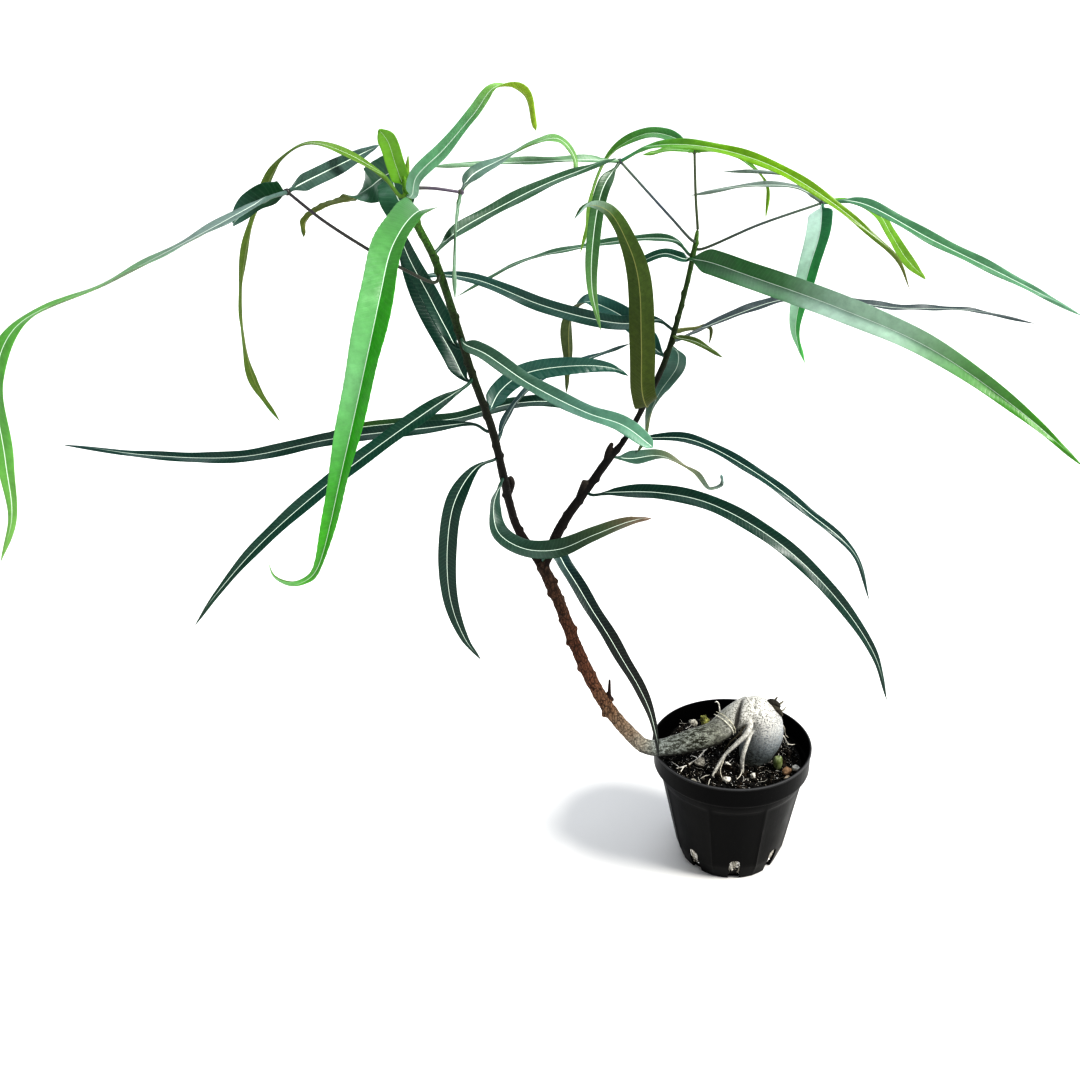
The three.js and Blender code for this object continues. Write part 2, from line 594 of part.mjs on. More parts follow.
// Potting mix: a filling with an uneven top, cut out around the plant's base and roots
function soilSolid(woodWithGap) {
  const { bevelHeight, wall, floor, panelDepth } = POT;
  const inner = (z) => potRadius(z) - wall - panelDepth - GAP - 0.3;
  const around = 40;
  const rings = 7;
  const positions = [[0, 0, floor + GAP]];
  const faces = [];
  const addRing = (radius, heightAt) => {
    for (let j = 0; j < around; j += 1) {
      const a = (2 * Math.PI * j) / around;
      const x = radius * Math.cos(a);
      const y = radius * Math.sin(a);
      positions.push([x, y, heightAt(x, y)]);
    }
  };
  addRing(inner(floor) - 0.6, () => floor + GAP);
  addRing(inner(bevelHeight), () => bevelHeight);
  for (let k = rings; k > 0; k -= 1) addRing((inner(SOIL_TOP) * k) / rings, soilHeight);
  positions.push([0, 0, soilHeight(0, 0)]);
  for (let j = 0; j < around; j += 1) faces.push([0, 1 + ((j + 1) % around), 1 + j]);
  for (let k = 0; k < rings + 1; k += 1) {
    for (let j = 0; j < around; j += 1) {
      const a = 1 + k * around + j;
      const b = 1 + k * around + ((j + 1) % around);
      faces.push([a, b, b + around], [a, b + around, a + around]);
    }
  }
  const last = 1 + (rings + 1) * around;
  for (let j = 0; j < around; j += 1) faces.push([last + j, last + ((j + 1) % around), positions.length - 1]);
  return toSolid(fromLists(positions, faces)).subtract(woodWithGap);
}

// Loose bits that lie on the potting mix: [x, y, radius, height for its width, colour]
const BITS = {
  white_ball: [-19, 35, 2.6, 1, 'perlite'],
  yellow_bit: [-11, 37, 3, 1.2, 'pellet'],
  perlite_1: [-21, -8, 3, 0.8, 'perlite'],
  perlite_2: [-4, -9, 2, 0.8, 'perlite'],
  perlite_3: [-7, -25, 2.4, 0.7, 'perlite'],
  perlite_4: [10, -21, 1.9, 0.8, 'perlite'],
  perlite_5: [-28, -25, 2, 0.7, 'perlite'],
  green_pellet: [27, -14, 2.6, 1.5, 'pellet'],
  brown_pebble: [32, -19, 3, 0.8, 'pebble'],
  cream_pebble: [31, -25, 2.2, 0.8, 'perlite'],
  white_pebble: [38, -16, 2.6, 0.8, 'perlite'],
};

// A fine white side root that lies forked on the potting mix: [x, y, radius]
const FINE_ROOT = [
  [[-9.7, 9.8, 0.5], [-15.3, 7, 0.6], [-21.3, -2, 0.6], [-25.8, -6.6, 0.6], [-31.4, -9.7, 0.5],
    [-36.6, -11.2, 0.5]],
  [[-15.3, 7, 0.5], [-18, 7.6, 0.45], [-20.6, 6.3, 0.4]],
  [[-31.4, -9.7, 0.5], [-34, -14, 0.45], [-36, -18, 0.4]],
];

const woodSolid = wood(0);
const woodWithGap = wood(GAP);

const group = new THREE.Group();
function addMesh(name, solid, colour, roughness) {
  const mesh = new THREE.Mesh(toGeometry(solid), matte(colour, roughness));
  mesh.name = name;
  group.add(mesh);
}

const pot = potSolid().subtract(drainSlots());
const soil = soilSolid(woodWithGap);
addMesh('pot', pot, COLOURS.pot, 0.35);
addMesh('potting_mix', soil, COLOURS.soil, 1);
addMesh('plant_wood', woodSolid, COLOURS.bark, 0.8);

Object.entries(LEAVES).forEach(([name, leaf]) => {
  const whole = { ...leaf, route: [footOn(leaf.on, leaf.route[0]), ...leaf.route] };
  addMesh(name, blade(whole, stepsFor(whole.route)).subtract(woodWithGap), COLOURS.leaf, 0.45);
});

Object.entries(DIVIDED_LEAVES).forEach(([name, leaf]) => {
  addMesh(name, dividedLeaf(leaf).subtract(woodWithGap), COLOURS.youngLeaf, 0.45);
});

Object.entries(BITS).forEach(([name, [x, y, radius, stretch, colour]]) => {
  const z = soilHeight(x, y) + radius * stretch + GAP;
  const bit = new THREE.IcosahedronGeometry(radius, 1).scale(1, 1, stretch).translate(x, y, z);
  addMesh(name, toSolid(bit), COLOURS[colour], 0.9);
});

const strands = FINE_ROOT.map((strand) => {
  const points = strand.map(([x, y, radius]) => [x, y, soilHeight(x, y) + 1, radius]);
  return limb(points, 6, 2);
});
addMesh('fine_root', joined(strands), COLOURS.root, 0.8);

export default group;
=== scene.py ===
# A young Queensland bottle tree in a small nursery pot, built up in the order in which it is potted:
# pot, potting mix, woody plant, leaves, loose bits. Sizes are in millimetres until piece() makes a mesh.
from functools import partial
from itertools import combinations

import bpy
import numpy as np
from mathutils import Matrix


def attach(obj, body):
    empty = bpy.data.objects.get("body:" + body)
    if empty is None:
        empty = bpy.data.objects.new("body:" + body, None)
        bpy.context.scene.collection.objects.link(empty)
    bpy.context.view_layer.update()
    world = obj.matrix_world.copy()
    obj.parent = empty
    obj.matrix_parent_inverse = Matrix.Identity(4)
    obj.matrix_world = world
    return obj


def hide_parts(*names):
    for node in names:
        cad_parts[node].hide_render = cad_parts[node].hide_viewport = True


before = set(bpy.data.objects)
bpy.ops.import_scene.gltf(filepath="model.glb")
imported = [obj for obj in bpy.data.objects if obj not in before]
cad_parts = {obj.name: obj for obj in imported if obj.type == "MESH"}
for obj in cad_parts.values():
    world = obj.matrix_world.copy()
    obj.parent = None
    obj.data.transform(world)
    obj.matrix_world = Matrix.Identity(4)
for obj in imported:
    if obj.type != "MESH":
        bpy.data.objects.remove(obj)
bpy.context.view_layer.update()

# The pot
# A thin nursery pot, injection moulded in black polypropylene. A band stiffens its rim and eight shallow
# flat panels its wall, and a round-topped drain slot goes through the bevelled foot in each panel.
RIM_RADIUS = 50
POT_HEIGHT = 83.5
FOOT_RADIUS = 31.5
BEVEL_HEIGHT = 11
BEVEL_WIDTH = 4.1
SHOULDER_RADIUS = 46.5
BAND_FOOT = POT_HEIGHT - 15
BAND_RADIUS = RIM_RADIUS - 0.6
WALL = 1.2
POT_FLOOR = 1.6
FLAT_FLOOR = 20
PANELS = 8
PANEL_DEPTH = 0.7
PANEL_RIDGE = 0.12
RIDGE_FROM = 0.93
COLUMNS_IN_PANEL = 36
PROFILE_STEP = 3.5
PANEL_FOOT = BEVEL_HEIGHT + 4
PANEL_TOP = BAND_FOOT - 8
SLOT_WIDTH = 7
SLOT_HEIGHT = 18
SLOT_TURN = np.radians(-94)
SLOT_REACH = [FOOT_RADIUS - 2.5, FOOT_RADIUS + 9.5]
ARCH_POINTS = 13
SHARP_BEND = np.radians(38)


def mix(a, b, t):
    """The value that lies the share t of the way from a to b."""
    return a + (b - a) * t


def smooth(t):
    """0 up to t = 0, 1 from t = 1, and the S-curve 3t² - 2t³ between them."""
    t = np.clip(t, 0, 1)
    return t * t * (3 - 2 * t)


def linear(hexes):
    """sRGB hex colours, with spaces between them, as rows of linear red, green, blue and 1:
    ((c + 0.055) / 1.055) to the power 2.4, or c / 12.92 for the darkest."""
    c = np.array([[int(h[k:k + 2], 16) / 255 for k in (1, 3, 5)] for h in hexes.split()])
    c = np.where(c > 0.04045, ((c + 0.055) / 1.055) ** 2.4, c / 12.92)
    return np.hstack([c, np.ones((len(c), 1))])


def keyed(keys, t):
    """Values spread evenly over t from 0 to 1 and joined by straight lines, read at each t. The keys are
    numbers, or rows of numbers such as colours."""
    keys = np.asarray(keys, float)
    place = np.clip(t, 0, 1) * (len(keys) - 1)
    low = np.minimum(place.astype(int), max(len(keys) - 2, 0))
    part = place - low
    part = part.reshape(part.shape + (1,) * (keys.ndim - 1))
    return mix(keys[low], keys[np.minimum(low + 1, len(keys) - 1)], part)


def ring_angles(count):
    """Even angles round a full turn."""
    return np.arange(count) * 2 * np.pi / count


def around_axis(radius, angle, z):
    """Points at a radius, an angle and a height, each a number or an array."""
    return np.stack(np.broadcast_arrays(radius * np.cos(angle), radius * np.sin(angle), z), axis=-1)


def ring_faces(rows, columns):
    """Four-sided faces of a grid of points numbered row by row, each row a closed ring, and a many-sided
    face over the first ring and over the last."""
    here = np.arange(rows * columns).reshape(rows, columns)
    beside = np.roll(here, -1, axis=1)
    sides = np.stack([here[:-1], beside[:-1], beside[1:], here[1:]], axis=-1).reshape(-1, 4)
    return sides.tolist() + [here[0, ::-1].tolist(), here[-1].tolist()]


def piece(name, points, faces, finishes, choice=None, **attributes):
    """A smooth mesh object from points in mm and lists of corners. choice gives each face's finish by
    number. Each attribute holds one number, or one colour, for each point."""
    mesh = bpy.data.meshes.new(name)
    mesh.from_pydata((np.asarray(points) * 0.001).tolist(), [], faces)
    mesh.shade_smooth()
    for finish in finishes:
        mesh.materials.append(finish)
    if choice is not None:
        mesh.polygons.foreach_set("material_index", np.asarray(choice, dtype=np.int32))
    for key, values in attributes.items():
        values = np.asarray(values, dtype=np.float32)
        kind, field = ("FLOAT", "value") if values.ndim == 1 else ("FLOAT_COLOR", "color")
        mesh.attributes.new(key, kind, "POINT").data.foreach_set(field, values.ravel())
    thing = bpy.data.objects.new(name, mesh)
    bpy.context.collection.objects.link(thing)
    return thing


def settle(thing):
    """Puts the shape that an object's modifiers give into its mesh, and takes the modifiers away."""
    graph = bpy.context.evaluated_depsgraph_get()
    mesh = bpy.data.meshes.new_from_object(thing.evaluated_get(graph))
    thing.modifiers.clear()
    thing.data = mesh


def node(tree, kind, sockets=None, **settings):
    """Adds a shader node to a tree. sockets maps a socket's name or number to a plain value, a hex colour,
    an output to link to it, or a node, which stands for the first output that it has in use."""
    made = tree.nodes.new("ShaderNode" + kind)
    for key, value in settings.items():
        setattr(made, key, value)
    for key, value in (sockets or {}).items():
        if isinstance(value, bpy.types.Node):
            value = next(output for output in value.outputs if output.enabled)
        if isinstance(value, bpy.types.NodeSocket):
            tree.links.new(value, made.inputs[key])
        else:
            made.inputs[key].default_value = linear(value)[0] if isinstance(value, str) else value
    return made


def new_finish(name):
    """A new material, the function that adds a node to it, and its first value: the place in metres."""
    material = bpy.data.materials.new(name)
    material.use_nodes = True
    material.node_tree.nodes.clear()
    add = partial(node, material.node_tree)
    return material, add, add("TexCoord").outputs["Object"]


def pot_radius(z):
    """The wall's outer radius at a height: a bevel at the foot, then a straight taper to the band."""
    bevel_top = FOOT_RADIUS + BEVEL_WIDTH
    bevel = mix(FOOT_RADIUS, bevel_top, z / BEVEL_HEIGHT)
    taper = mix(bevel_top, SHOULDER_RADIUS, np.clip((z - BEVEL_HEIGHT) / (BAND_FOOT - BEVEL_HEIGHT), 0, 1))
    return np.where(z < BEVEL_HEIGHT, bevel, taper)


def pot_wall():
    """Points of the pot: a profile [radius, height, panel] drawn up the outside, over the lip and down the
    inside, cut into short steps and turned about the middle. Where panel is 1, the wall's radius dips by
    PANEL_DEPTH in the middle of each panel, less (place ** 6) towards the panel's sides, which rise to a
    low ridge. The lip is worn."""
    def wall(z, panel, out=0):
        """A point of the profile on the wall, or `out` mm outside it."""
        return [pot_radius(z) + out, z, panel]

    band = BAND_RADIUS
    top = POT_HEIGHT
    outside = [
        [0.5, 0, 0], [FOOT_RADIUS - 0.5, 0, 0.3], wall(0.5, 0.3),
        [pot_radius(BEVEL_HEIGHT) - 0.2, BEVEL_HEIGHT - 0.4, 1], wall(BEVEL_HEIGHT + 0.4, 1),
        wall(PANEL_FOOT, 1), wall(PANEL_TOP, 1), wall(PANEL_TOP + 1.6, 0.15), wall(BAND_FOOT - 0.3, 0),
        wall(BAND_FOOT, 0, 0.3), [band - 0.7, BAND_FOOT + 0.5, 0], [band - 0.3, BAND_FOOT + 1.1, 0],
        [band, top - 2.2, 0], [band + 0.2, top - 1.7, 0], [RIM_RADIUS - 0.1, top - 1.5, 0],
        [RIM_RADIUS, top - 1.2, 0], [RIM_RADIUS, top - 0.4, 0], [RIM_RADIUS - 0.12, top - 0.12, 0],
        [RIM_RADIUS - 0.4, top, 0],
    ]
    inside = [
        [RIM_RADIUS - WALL + 0.1, top, 0], [RIM_RADIUS - WALL - 0.2, top - 0.1, 0],
        [RIM_RADIUS - WALL - 0.35, top - 0.5, 0], [band - 0.3 - WALL, BAND_FOOT + 2, 0],
        [pot_radius(BAND_FOOT) - WALL, BAND_FOOT - 1, 0], wall(PANEL_FOOT, 1, -WALL),
        wall(BEVEL_HEIGHT, 1, -WALL), [pot_radius(POT_FLOOR) - WALL, POT_FLOOR + 0.3, 0.3],
        [FOOT_RADIUS - 2, POT_FLOOR, 0], [0.5, POT_FLOOR, 0],
    ]
    corners = np.array(outside + inside, dtype=float)
    distance = np.r_[0, np.cumsum(np.linalg.norm(np.diff(corners[:, :2], axis=0), axis=1))]
    steps = np.unique(np.r_[distance, np.arange(0, distance[-1], PROFILE_STEP)])
    radius, z, panelled = (np.interp(steps, distance, column)[:, None] for column in corners.T)
    turn = ring_angles(PANELS * COLUMNS_IN_PANEL)
    place = np.abs((turn * PANELS / (2 * np.pi) + 0.5) % 1 - 0.5) * 2
    ridge = PANEL_RIDGE * smooth((place - RIDGE_FROM) / (1 - RIDGE_FROM))
    dip = panelled * (PANEL_DEPTH * (1 - place ** 6) - ridge)
    r = radius - dip * (radius > FLAT_FLOOR)
    wear = smooth((z - top + 1.4) / 1.2) * (radius > RIM_RADIUS - 1) + 0 * turn
    return around_axis(r, turn + SLOT_TURN, z), wear


def slot_cutters():
    """One round-topped bar for each drain slot: its outline in width and height, pushed from inside the
    wall to outside the foot, and turned to the middle of its panel."""
    arch = np.linspace(0, np.pi, ARCH_POINTS)
    half = SLOT_WIDTH / 2
    across = np.r_[-half, half, half * np.cos(arch)]
    up = np.r_[-1, -1, SLOT_HEIGHT - half + half * np.sin(arch)]
    reach = np.array(SLOT_REACH)[:, None]
    turn = (SLOT_TURN + ring_angles(PANELS))[:, None, None]
    x = reach * np.cos(turn) - across * np.sin(turn)
    y = reach * np.sin(turn) + across * np.cos(turn)
    points = np.stack([x, y, up + 0 * x], axis=-1)
    one = ring_faces(2, len(across))
    faces = [[corner + 2 * len(across) * k for corner in face] for k in range(PANELS) for face in one]
    return points.reshape(-1, 3), faces


# Injection-moulded polypropylene, pigmented black: satin, slightly uneven in gloss from handling, with
# faint flow marks down the wall, a film of potting dust and a lip that is rubbed grey.
polypropylene, add, place = new_finish("moulded_black_polypropylene")
worn = add("Attribute", attribute_name="wear").outputs["Fac"]
handled = add("TexNoise", {"Vector": place, "Scale": 90, "Detail": 4})
streak = add("Mapping", {"Vector": place, "Scale": (1, 1, 0.06)})
flow = add("TexNoise", {"Vector": streak, "Scale": 420, "Detail": 2})
dust = add("TexNoise", {"Vector": place, "Scale": 700, "Detail": 3, "Roughness": 0.7})
dusty = add("MapRange", {0: dust, 1: 0.66, 2: 0.8, 3: 0, 4: 0.16})
rubbed = add("MapRange", {0: worn, 3: 0, 4: 0.3})
blacks = add("Mix", {0: handled, 6: "#030304", 7: "#070708"}, data_type="RGBA")
edge = add("Mix", {0: rubbed, 6: blacks, 7: "#8a8a8c"}, data_type="RGBA")
coloured = add("Mix", {0: dusty, 6: edge, 7: "#6f675c"}, data_type="RGBA")
gloss = add("MapRange", {0: handled, 3: 0.3, 4: 0.48})
relief = add("Bump", {"Height": flow, "Distance": 0.00012, "Strength": 0.6})
skin = add("BsdfPrincipled", {"Base Color": coloured, "IOR": 1.49, "Specular IOR Level": 0.1,
           "Roughness": gloss, "Normal": relief})
add("OutputMaterial", {"Surface": skin})

wall_points, wear = pot_wall()
pot = piece("nursery_pot", wall_points.reshape(-1, 3), ring_faces(*wall_points.shape[:2]),
            [polypropylene], wear=wear.ravel())
cutter = piece("slot_cutter", *slot_cutters(), [polypropylene])
cut = pot.modifiers.new("drain slots", "BOOLEAN")
cut.operation = "DIFFERENCE"
cut.solver = "EXACT"
cut.object = cutter
settle(pot)
bpy.data.objects.remove(cutter)
pot.data.shade_smooth()
pot.data.set_sharp_from_angle(angle=SHARP_BEND)
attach(pot, "root")
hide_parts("pot")

# The potting mix
# Black-brown coarse compost with white grit, filled to about 12 mm under the rim and settled unevenly.
# It is one closed filling with some thousand crumbs, chips and short root fibres lying in its top.
SOIL_TOP = 71
CLEARANCE = 0.3
CRUMBS = 3600
GRIT = 1700
CHIPS = 90
FIBRES = 350
SLOT_GRIT = 700
SLOT_ROOTS = 240
BALL_CORNERS = 12
BALL_FACES = 20
FIBRE_RINGS = 7
FIBRE_SIDES = 5
LIMB_END = 0.45
CURVE_STEPS = 24
random = np.random.default_rng(7)


def lumps(points, size, seed):
    """Soft random values from -1 to 1: a fixed random number at each corner of cubes that are `size` mm
    wide, blended smoothly between the corners. The large numbers only scramble a corner's place."""
    place = points / size
    cell = np.floor(place).astype(np.int64)
    part = place - cell
    part = part * part * (3 - 2 * part)
    total = np.zeros(len(points))
    for corner in np.ndindex(2, 2, 2):
        key = (cell + corner) @ np.array([73856093, 19349663, 83492791]) + seed * 1013904223
        key = ((key ^ (key >> 13)) * 1274126177) % 4294967296
        key = ((key ^ (key >> 15)) * 2246822519) % 4294967296
        value = (key >> 8) % 65536 / 32767.5 - 1
        total += value * np.prod(np.where(corner, part, 1 - part), axis=1)
    return total


def soil_height(x, y):
    """How high the settled mix stands: a few low mounds, a little higher at the back."""
    mounds = 0.8 * np.sin(0.21 * x + 1) * np.cos(0.19 * y) + 0.5 * np.sin(0.13 * x + 0.17 * y)
    return SOIL_TOP + mounds + 0.03 * (y - x)


def soil_inner(z):
    """The filling's radius at a height, just clear of the pot's panels."""
    return pot_radius(z) - WALL - PANEL_DEPTH - CLEARANCE


def soil_body():
    """Points of the filling: rings from the middle of its underside out, up the wall and back in over the
    top, where each is lifted by small and smaller lumps."""
    bands = 52
    around = 220
    low = np.array([[0.5, POT_FLOOR + 0.4], [soil_inner(2.5) - 0.6, POT_FLOOR + 0.4]])
    rise = np.linspace(3, SOIL_TOP - 0.5, 24)
    side = np.stack([soil_inner(rise), rise], axis=-1)
    top = np.stack([np.linspace(soil_inner(SOIL_TOP), 0.5, bands), np.full(bands, SOIL_TOP)], axis=-1)
    profile = np.vstack([low, side, top])
    a = ring_angles(around)
    points = around_axis(profile[:, :1], a, profile[:, 1:])
    points[-bands:, :, 2] = soil_height(points[-bands:, :, 0], points[-bands:, :, 1])
    points = points.reshape(-1, 3)
    rough = 0.75 * lumps(points, 3.1, 1) + 0.5 * lumps(points, 1.5, 2)
    on_top = np.repeat(np.r_[np.zeros(len(profile) - bands), np.ones(bands)], around)
    points[:, 2] += on_top * rough
    points[:, :2] *= (1 - 0.006 * (1 - on_top) * (1 + rough))[:, None]
    return points, ring_faces(len(profile), around)


def unit(vectors):
    """The same directions, each 1 long."""
    return vectors / np.linalg.norm(vectors, axis=-1, keepdims=True)


def grains(centres, sizes, flat):
    """Angular crumbs: a twenty-sided ball for each centre, its corners pushed in or out at random, drawn
    out by up to `flat` and turned any way. Corners less than 1.2 apart share an edge."""
    golden = (1 + 5 ** 0.5) / 2
    ball = np.array([[a, b * golden, 0] for a in (-1, 1) for b in (-1, 1)])
    ball = np.vstack([ball, ball[:, [2, 0, 1]], ball[:, [1, 2, 0]]]) / 1.9
    near = np.linalg.norm(ball[:, None] - ball, axis=-1) < 1.2
    faces = [(i, j, k) for i, j, k in combinations(range(BALL_CORNERS), 3)
             if near[i, j] and near[j, k] and near[i, k]]
    faces = np.array([f if np.cross(ball[f[1]] - ball[f[0]], ball[f[2]] - ball[f[0]]) @ ball[f[0]] > 0
                      else f[::-1] for f in faces])
    count = len(centres)
    shape = ball * random.uniform(0.7, 1.15, (count, BALL_CORNERS, 1))
    shape = shape * random.uniform(1 - flat, 1 + flat, (count, 1, 3))
    w, x, y, z = unit(random.normal(size=(count, 4))).T
    spin = np.array([[1 - 2 * (y * y + z * z), 2 * (x * y - z * w), 2 * (x * z + y * w)],
                     [2 * (x * y + z * w), 1 - 2 * (x * x + z * z), 2 * (y * z - x * w)],
                     [2 * (x * z - y * w), 2 * (y * z + x * w), 1 - 2 * (x * x + y * y)]])
    shape = np.einsum("ijn,nkj->nki", spin, shape) * np.reshape(sizes, (-1, 1, 1))
    points = (shape + centres[:, None]).reshape(-1, 3)
    return points, (faces + BALL_CORNERS * np.arange(count)[:, None, None]).reshape(-1, 3).tolist()


def scattered(count, sink):
    """Random places on the mix's top, evenly spread, each sunk by up to `sink`."""
    r = (soil_inner(SOIL_TOP) - 1.2) * np.sqrt(random.uniform(0, 1, count))
    a = random.uniform(0, 2 * np.pi, count)
    x, y = r * np.cos(a), r * np.sin(a)
    return np.stack([x, y, soil_height(x, y) + 0.7 - random.uniform(0, sink, count)], axis=-1)


def slot_fill(count):
    """Random places on the filling's side where the drain slots show it."""
    slot = SLOT_TURN + random.integers(0, PANELS, count) * 2 * np.pi / PANELS
    z = random.uniform(3, SLOT_HEIGHT, count)
    r = soil_inner(z) - random.uniform(0.3, 1.6, count)
    a = slot + random.uniform(-SLOT_WIDTH / 2 - 1, SLOT_WIDTH / 2 + 1, count) / r
    return around_axis(r, a, z)


def curve_through(route, per_span):
    """Points on a smooth curve through a route. Each span bends by its two neighbours (Catmull-Rom, with
    knots as far apart as the square roots of the distances), and the ends are mirrored outwards."""
    route = np.asarray(route, float)
    p = np.vstack([2 * route[0] - route[1], route, 2 * route[-1] - route[-2]])
    gap = np.sqrt(np.linalg.norm(np.diff(p[:, :3], axis=0), axis=1))
    a, b, c, d = (p[k:len(p) - 3 + k, None] for k in range(4))
    before, here, after = (gap[k:len(gap) - 2 + k, None, None] for k in range(3))
    t = here * np.arange(per_span)[None, :, None] / per_span
    ab = mix(a, b, (t + before) / before)
    bc = mix(b, c, t / here)
    cd = mix(c, d, (t - here) / after)
    abc = mix(ab, bc, (t + before) / (before + here))
    bcd = mix(bc, cd, t / (here + after))
    inner = mix(abc, bcd, t / here).reshape(-1, p.shape[1])
    return np.vstack([inner, route[-1:]])


def even_steps(route, count):
    """The smooth curve through a route, read at even steps of its length: points and distances."""
    fine = curve_through(route, CURVE_STEPS)
    distance = np.r_[0, np.cumsum(np.linalg.norm(np.diff(fine[:, :3], axis=0), axis=1))]
    at = np.linspace(0, distance[-1], count)
    return np.stack([np.interp(at, distance, column) for column in fine.T], axis=-1), at


def directions(points):
    """The unit direction of a row of points at each of them."""
    return unit(np.gradient(points, axis=0))


def tube(route, count, sides):
    """A round limb through [x, y, z, radius]: rings at right angles to its smooth route, the end rings
    drawn in to LIMB_END of their radius."""
    line = even_steps(route, count)[0]
    along = directions(line[:, :3])
    helper = np.eye(3)[np.argmin(np.abs(along).max(axis=0))]
    side = unit(np.cross(helper, along))
    other = np.cross(along, side)
    a = ring_angles(sides)
    radius = line[:, 3:4]
    radius[[0, -1]] *= LIMB_END
    ring = side[:, None] * np.cos(a)[None, :, None] + other[:, None] * np.sin(a)[None, :, None]
    points = line[:, None, :3] + ring * radius[:, None]
    return points.reshape(-1, 3), ring_faces(count, sides)


def joined(parts):
    """One array of points and one list of faces from several pairs of them."""
    starts = np.cumsum([0] + [len(points) for points, _ in parts])
    faces = [[corner + start for corner in face] for (_, some), start in zip(parts, starts) for face in some]
    return np.vstack([points for points, _ in parts]), faces


def slot_root(slot):
    """A root hair pressed against the pot inside a drain slot: a short curve on the filling's side."""
    width = random.uniform(-SLOT_WIDTH / 2, SLOT_WIDTH / 2) + np.cumsum(random.uniform(-1, 0.8, 5))
    z = random.uniform(2, SLOT_HEIGHT - 6) + np.cumsum(random.uniform(0.5, 4, 5))
    z = np.clip(z, 2.5, SLOT_HEIGHT + 2)
    r = soil_inner(z) + random.uniform(-0.3, 0.25)
    a = SLOT_TURN + slot * 2 * np.pi / PANELS + width / r
    line = np.c_[around_axis(r, a, z), np.full(5, random.uniform(0.2, 0.42))]
    return tube(line, FIBRE_RINGS, FIBRE_SIDES)


def short_fibre(place, length, thickness):
    """A curling root hair that starts at a place and lies nearly flat."""
    heading = random.uniform(0, 2 * np.pi) + np.cumsum(random.uniform(-0.8, 0.8, 4))
    steps = around_axis(1, heading, random.uniform(-0.25, 0.35, 4)) * length / 4
    line = place + np.vstack([np.zeros(3), np.cumsum(steps, axis=0)])
    return tube(np.hstack([line, np.full((5, 1), thickness)]), FIBRE_RINGS, FIBRE_SIDES)


def picked(tones, count, each):
    """A random one of the tones for each of `count` things, on all the points of each."""
    rows = linear(tones)
    return np.repeat(rows[random.integers(0, len(rows), count)], each, axis=0)


# Peat and composted bark, damp: nearly black and matte, each crumb a little different, with a few bright
# flecks of sand on them. The crumbs' own tones come from their "tint".
compost, add, place = new_finish("damp_peat_and_bark")
tint = add("Attribute", attribute_name="tint").outputs["Color"]
grit = add("TexNoise", {"Vector": place, "Scale": 1500, "Detail": 3})
cloud = add("TexNoise", {"Vector": place, "Scale": 350, "Detail": 5, "Roughness": 0.7})
shade = add("MapRange", {0: cloud, 1: 0.3, 2: 0.7, 3: 0.55, 4: 1.35})
toned = add("VectorMath", {0: tint, 1: shade}, operation="MULTIPLY")
fleck = add("MapRange", {0: grit, 1: 0.66, 2: 0.72, 3: 0, 4: 0.8})
coloured = add("Mix", {0: fleck, 6: toned, 7: "#cdc8bd"}, data_type="RGBA")
relief = add("Bump", {"Height": cloud, "Distance": 0.0006, "Strength": 0.7})
skin = add("BsdfPrincipled", {"Base Color": coloured, "Roughness": 0.72, "Specular IOR Level": 0.25,
           "Normal": relief})
add("OutputMaterial", {"Surface": skin})

body_points, body_faces = soil_body()
fibre_starts = scattered(FIBRES - SLOT_ROOTS, 0.2) + [0, 0, 0.4]
parts = [
    (body_points, body_faces),
    grains(scattered(CRUMBS, 1.4), random.uniform(0.45, 1.35, CRUMBS), 0.35),
    grains(np.vstack([scattered(GRIT - SLOT_GRIT, 0.5), slot_fill(SLOT_GRIT)]),
           np.r_[random.uniform(0.16, 0.5, GRIT - SLOT_GRIT), random.uniform(0.4, 1.2, SLOT_GRIT)], 0.3),
    grains(scattered(CHIPS, 0.4) + [0, 0, 0.4], random.uniform(1.2, 2.4, CHIPS), 0.7),
]
parts += [short_fibre(p, random.uniform(3, 8), random.uniform(0.08, 0.15)) for p in fibre_starts]
parts += [slot_root(k % PANELS) for k in range(SLOT_ROOTS)]
# Nearly black filling and crumbs, pale grit, brown chips and bleached fibres
tints = [
    np.repeat(linear("#0b0a08"), len(body_points), axis=0),
    picked("#090807 #0e0c09 #070605 #15110c #0b0a08 #1c1610 #060505 #2a2118", CRUMBS, BALL_CORNERS),
    picked("#e4e1da #aaa499 #ffffff #8f887c #d3cdc2", GRIT, BALL_CORNERS),
    picked("#1f1812 #2b231a #3a342c #151210", CHIPS, BALL_CORNERS),
    picked("#a9a59b #d6d3cb #77736a #f2f0ea #c0bcb2", FIBRES, FIBRE_RINGS * FIBRE_SIDES),
]
points, faces = joined(parts)
mix_top = piece("compost_filling", points, faces, [compost], tint=np.vstack(tints))
flat = np.zeros(len(faces), dtype=bool)
flat[len(body_faces):len(body_faces) + BALL_FACES * (CRUMBS + GRIT + CHIPS)] = True
mix_top.data.polygons.foreach_set("use_smooth", ~flat)
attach(mix_top, "root")
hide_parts("potting_mix")

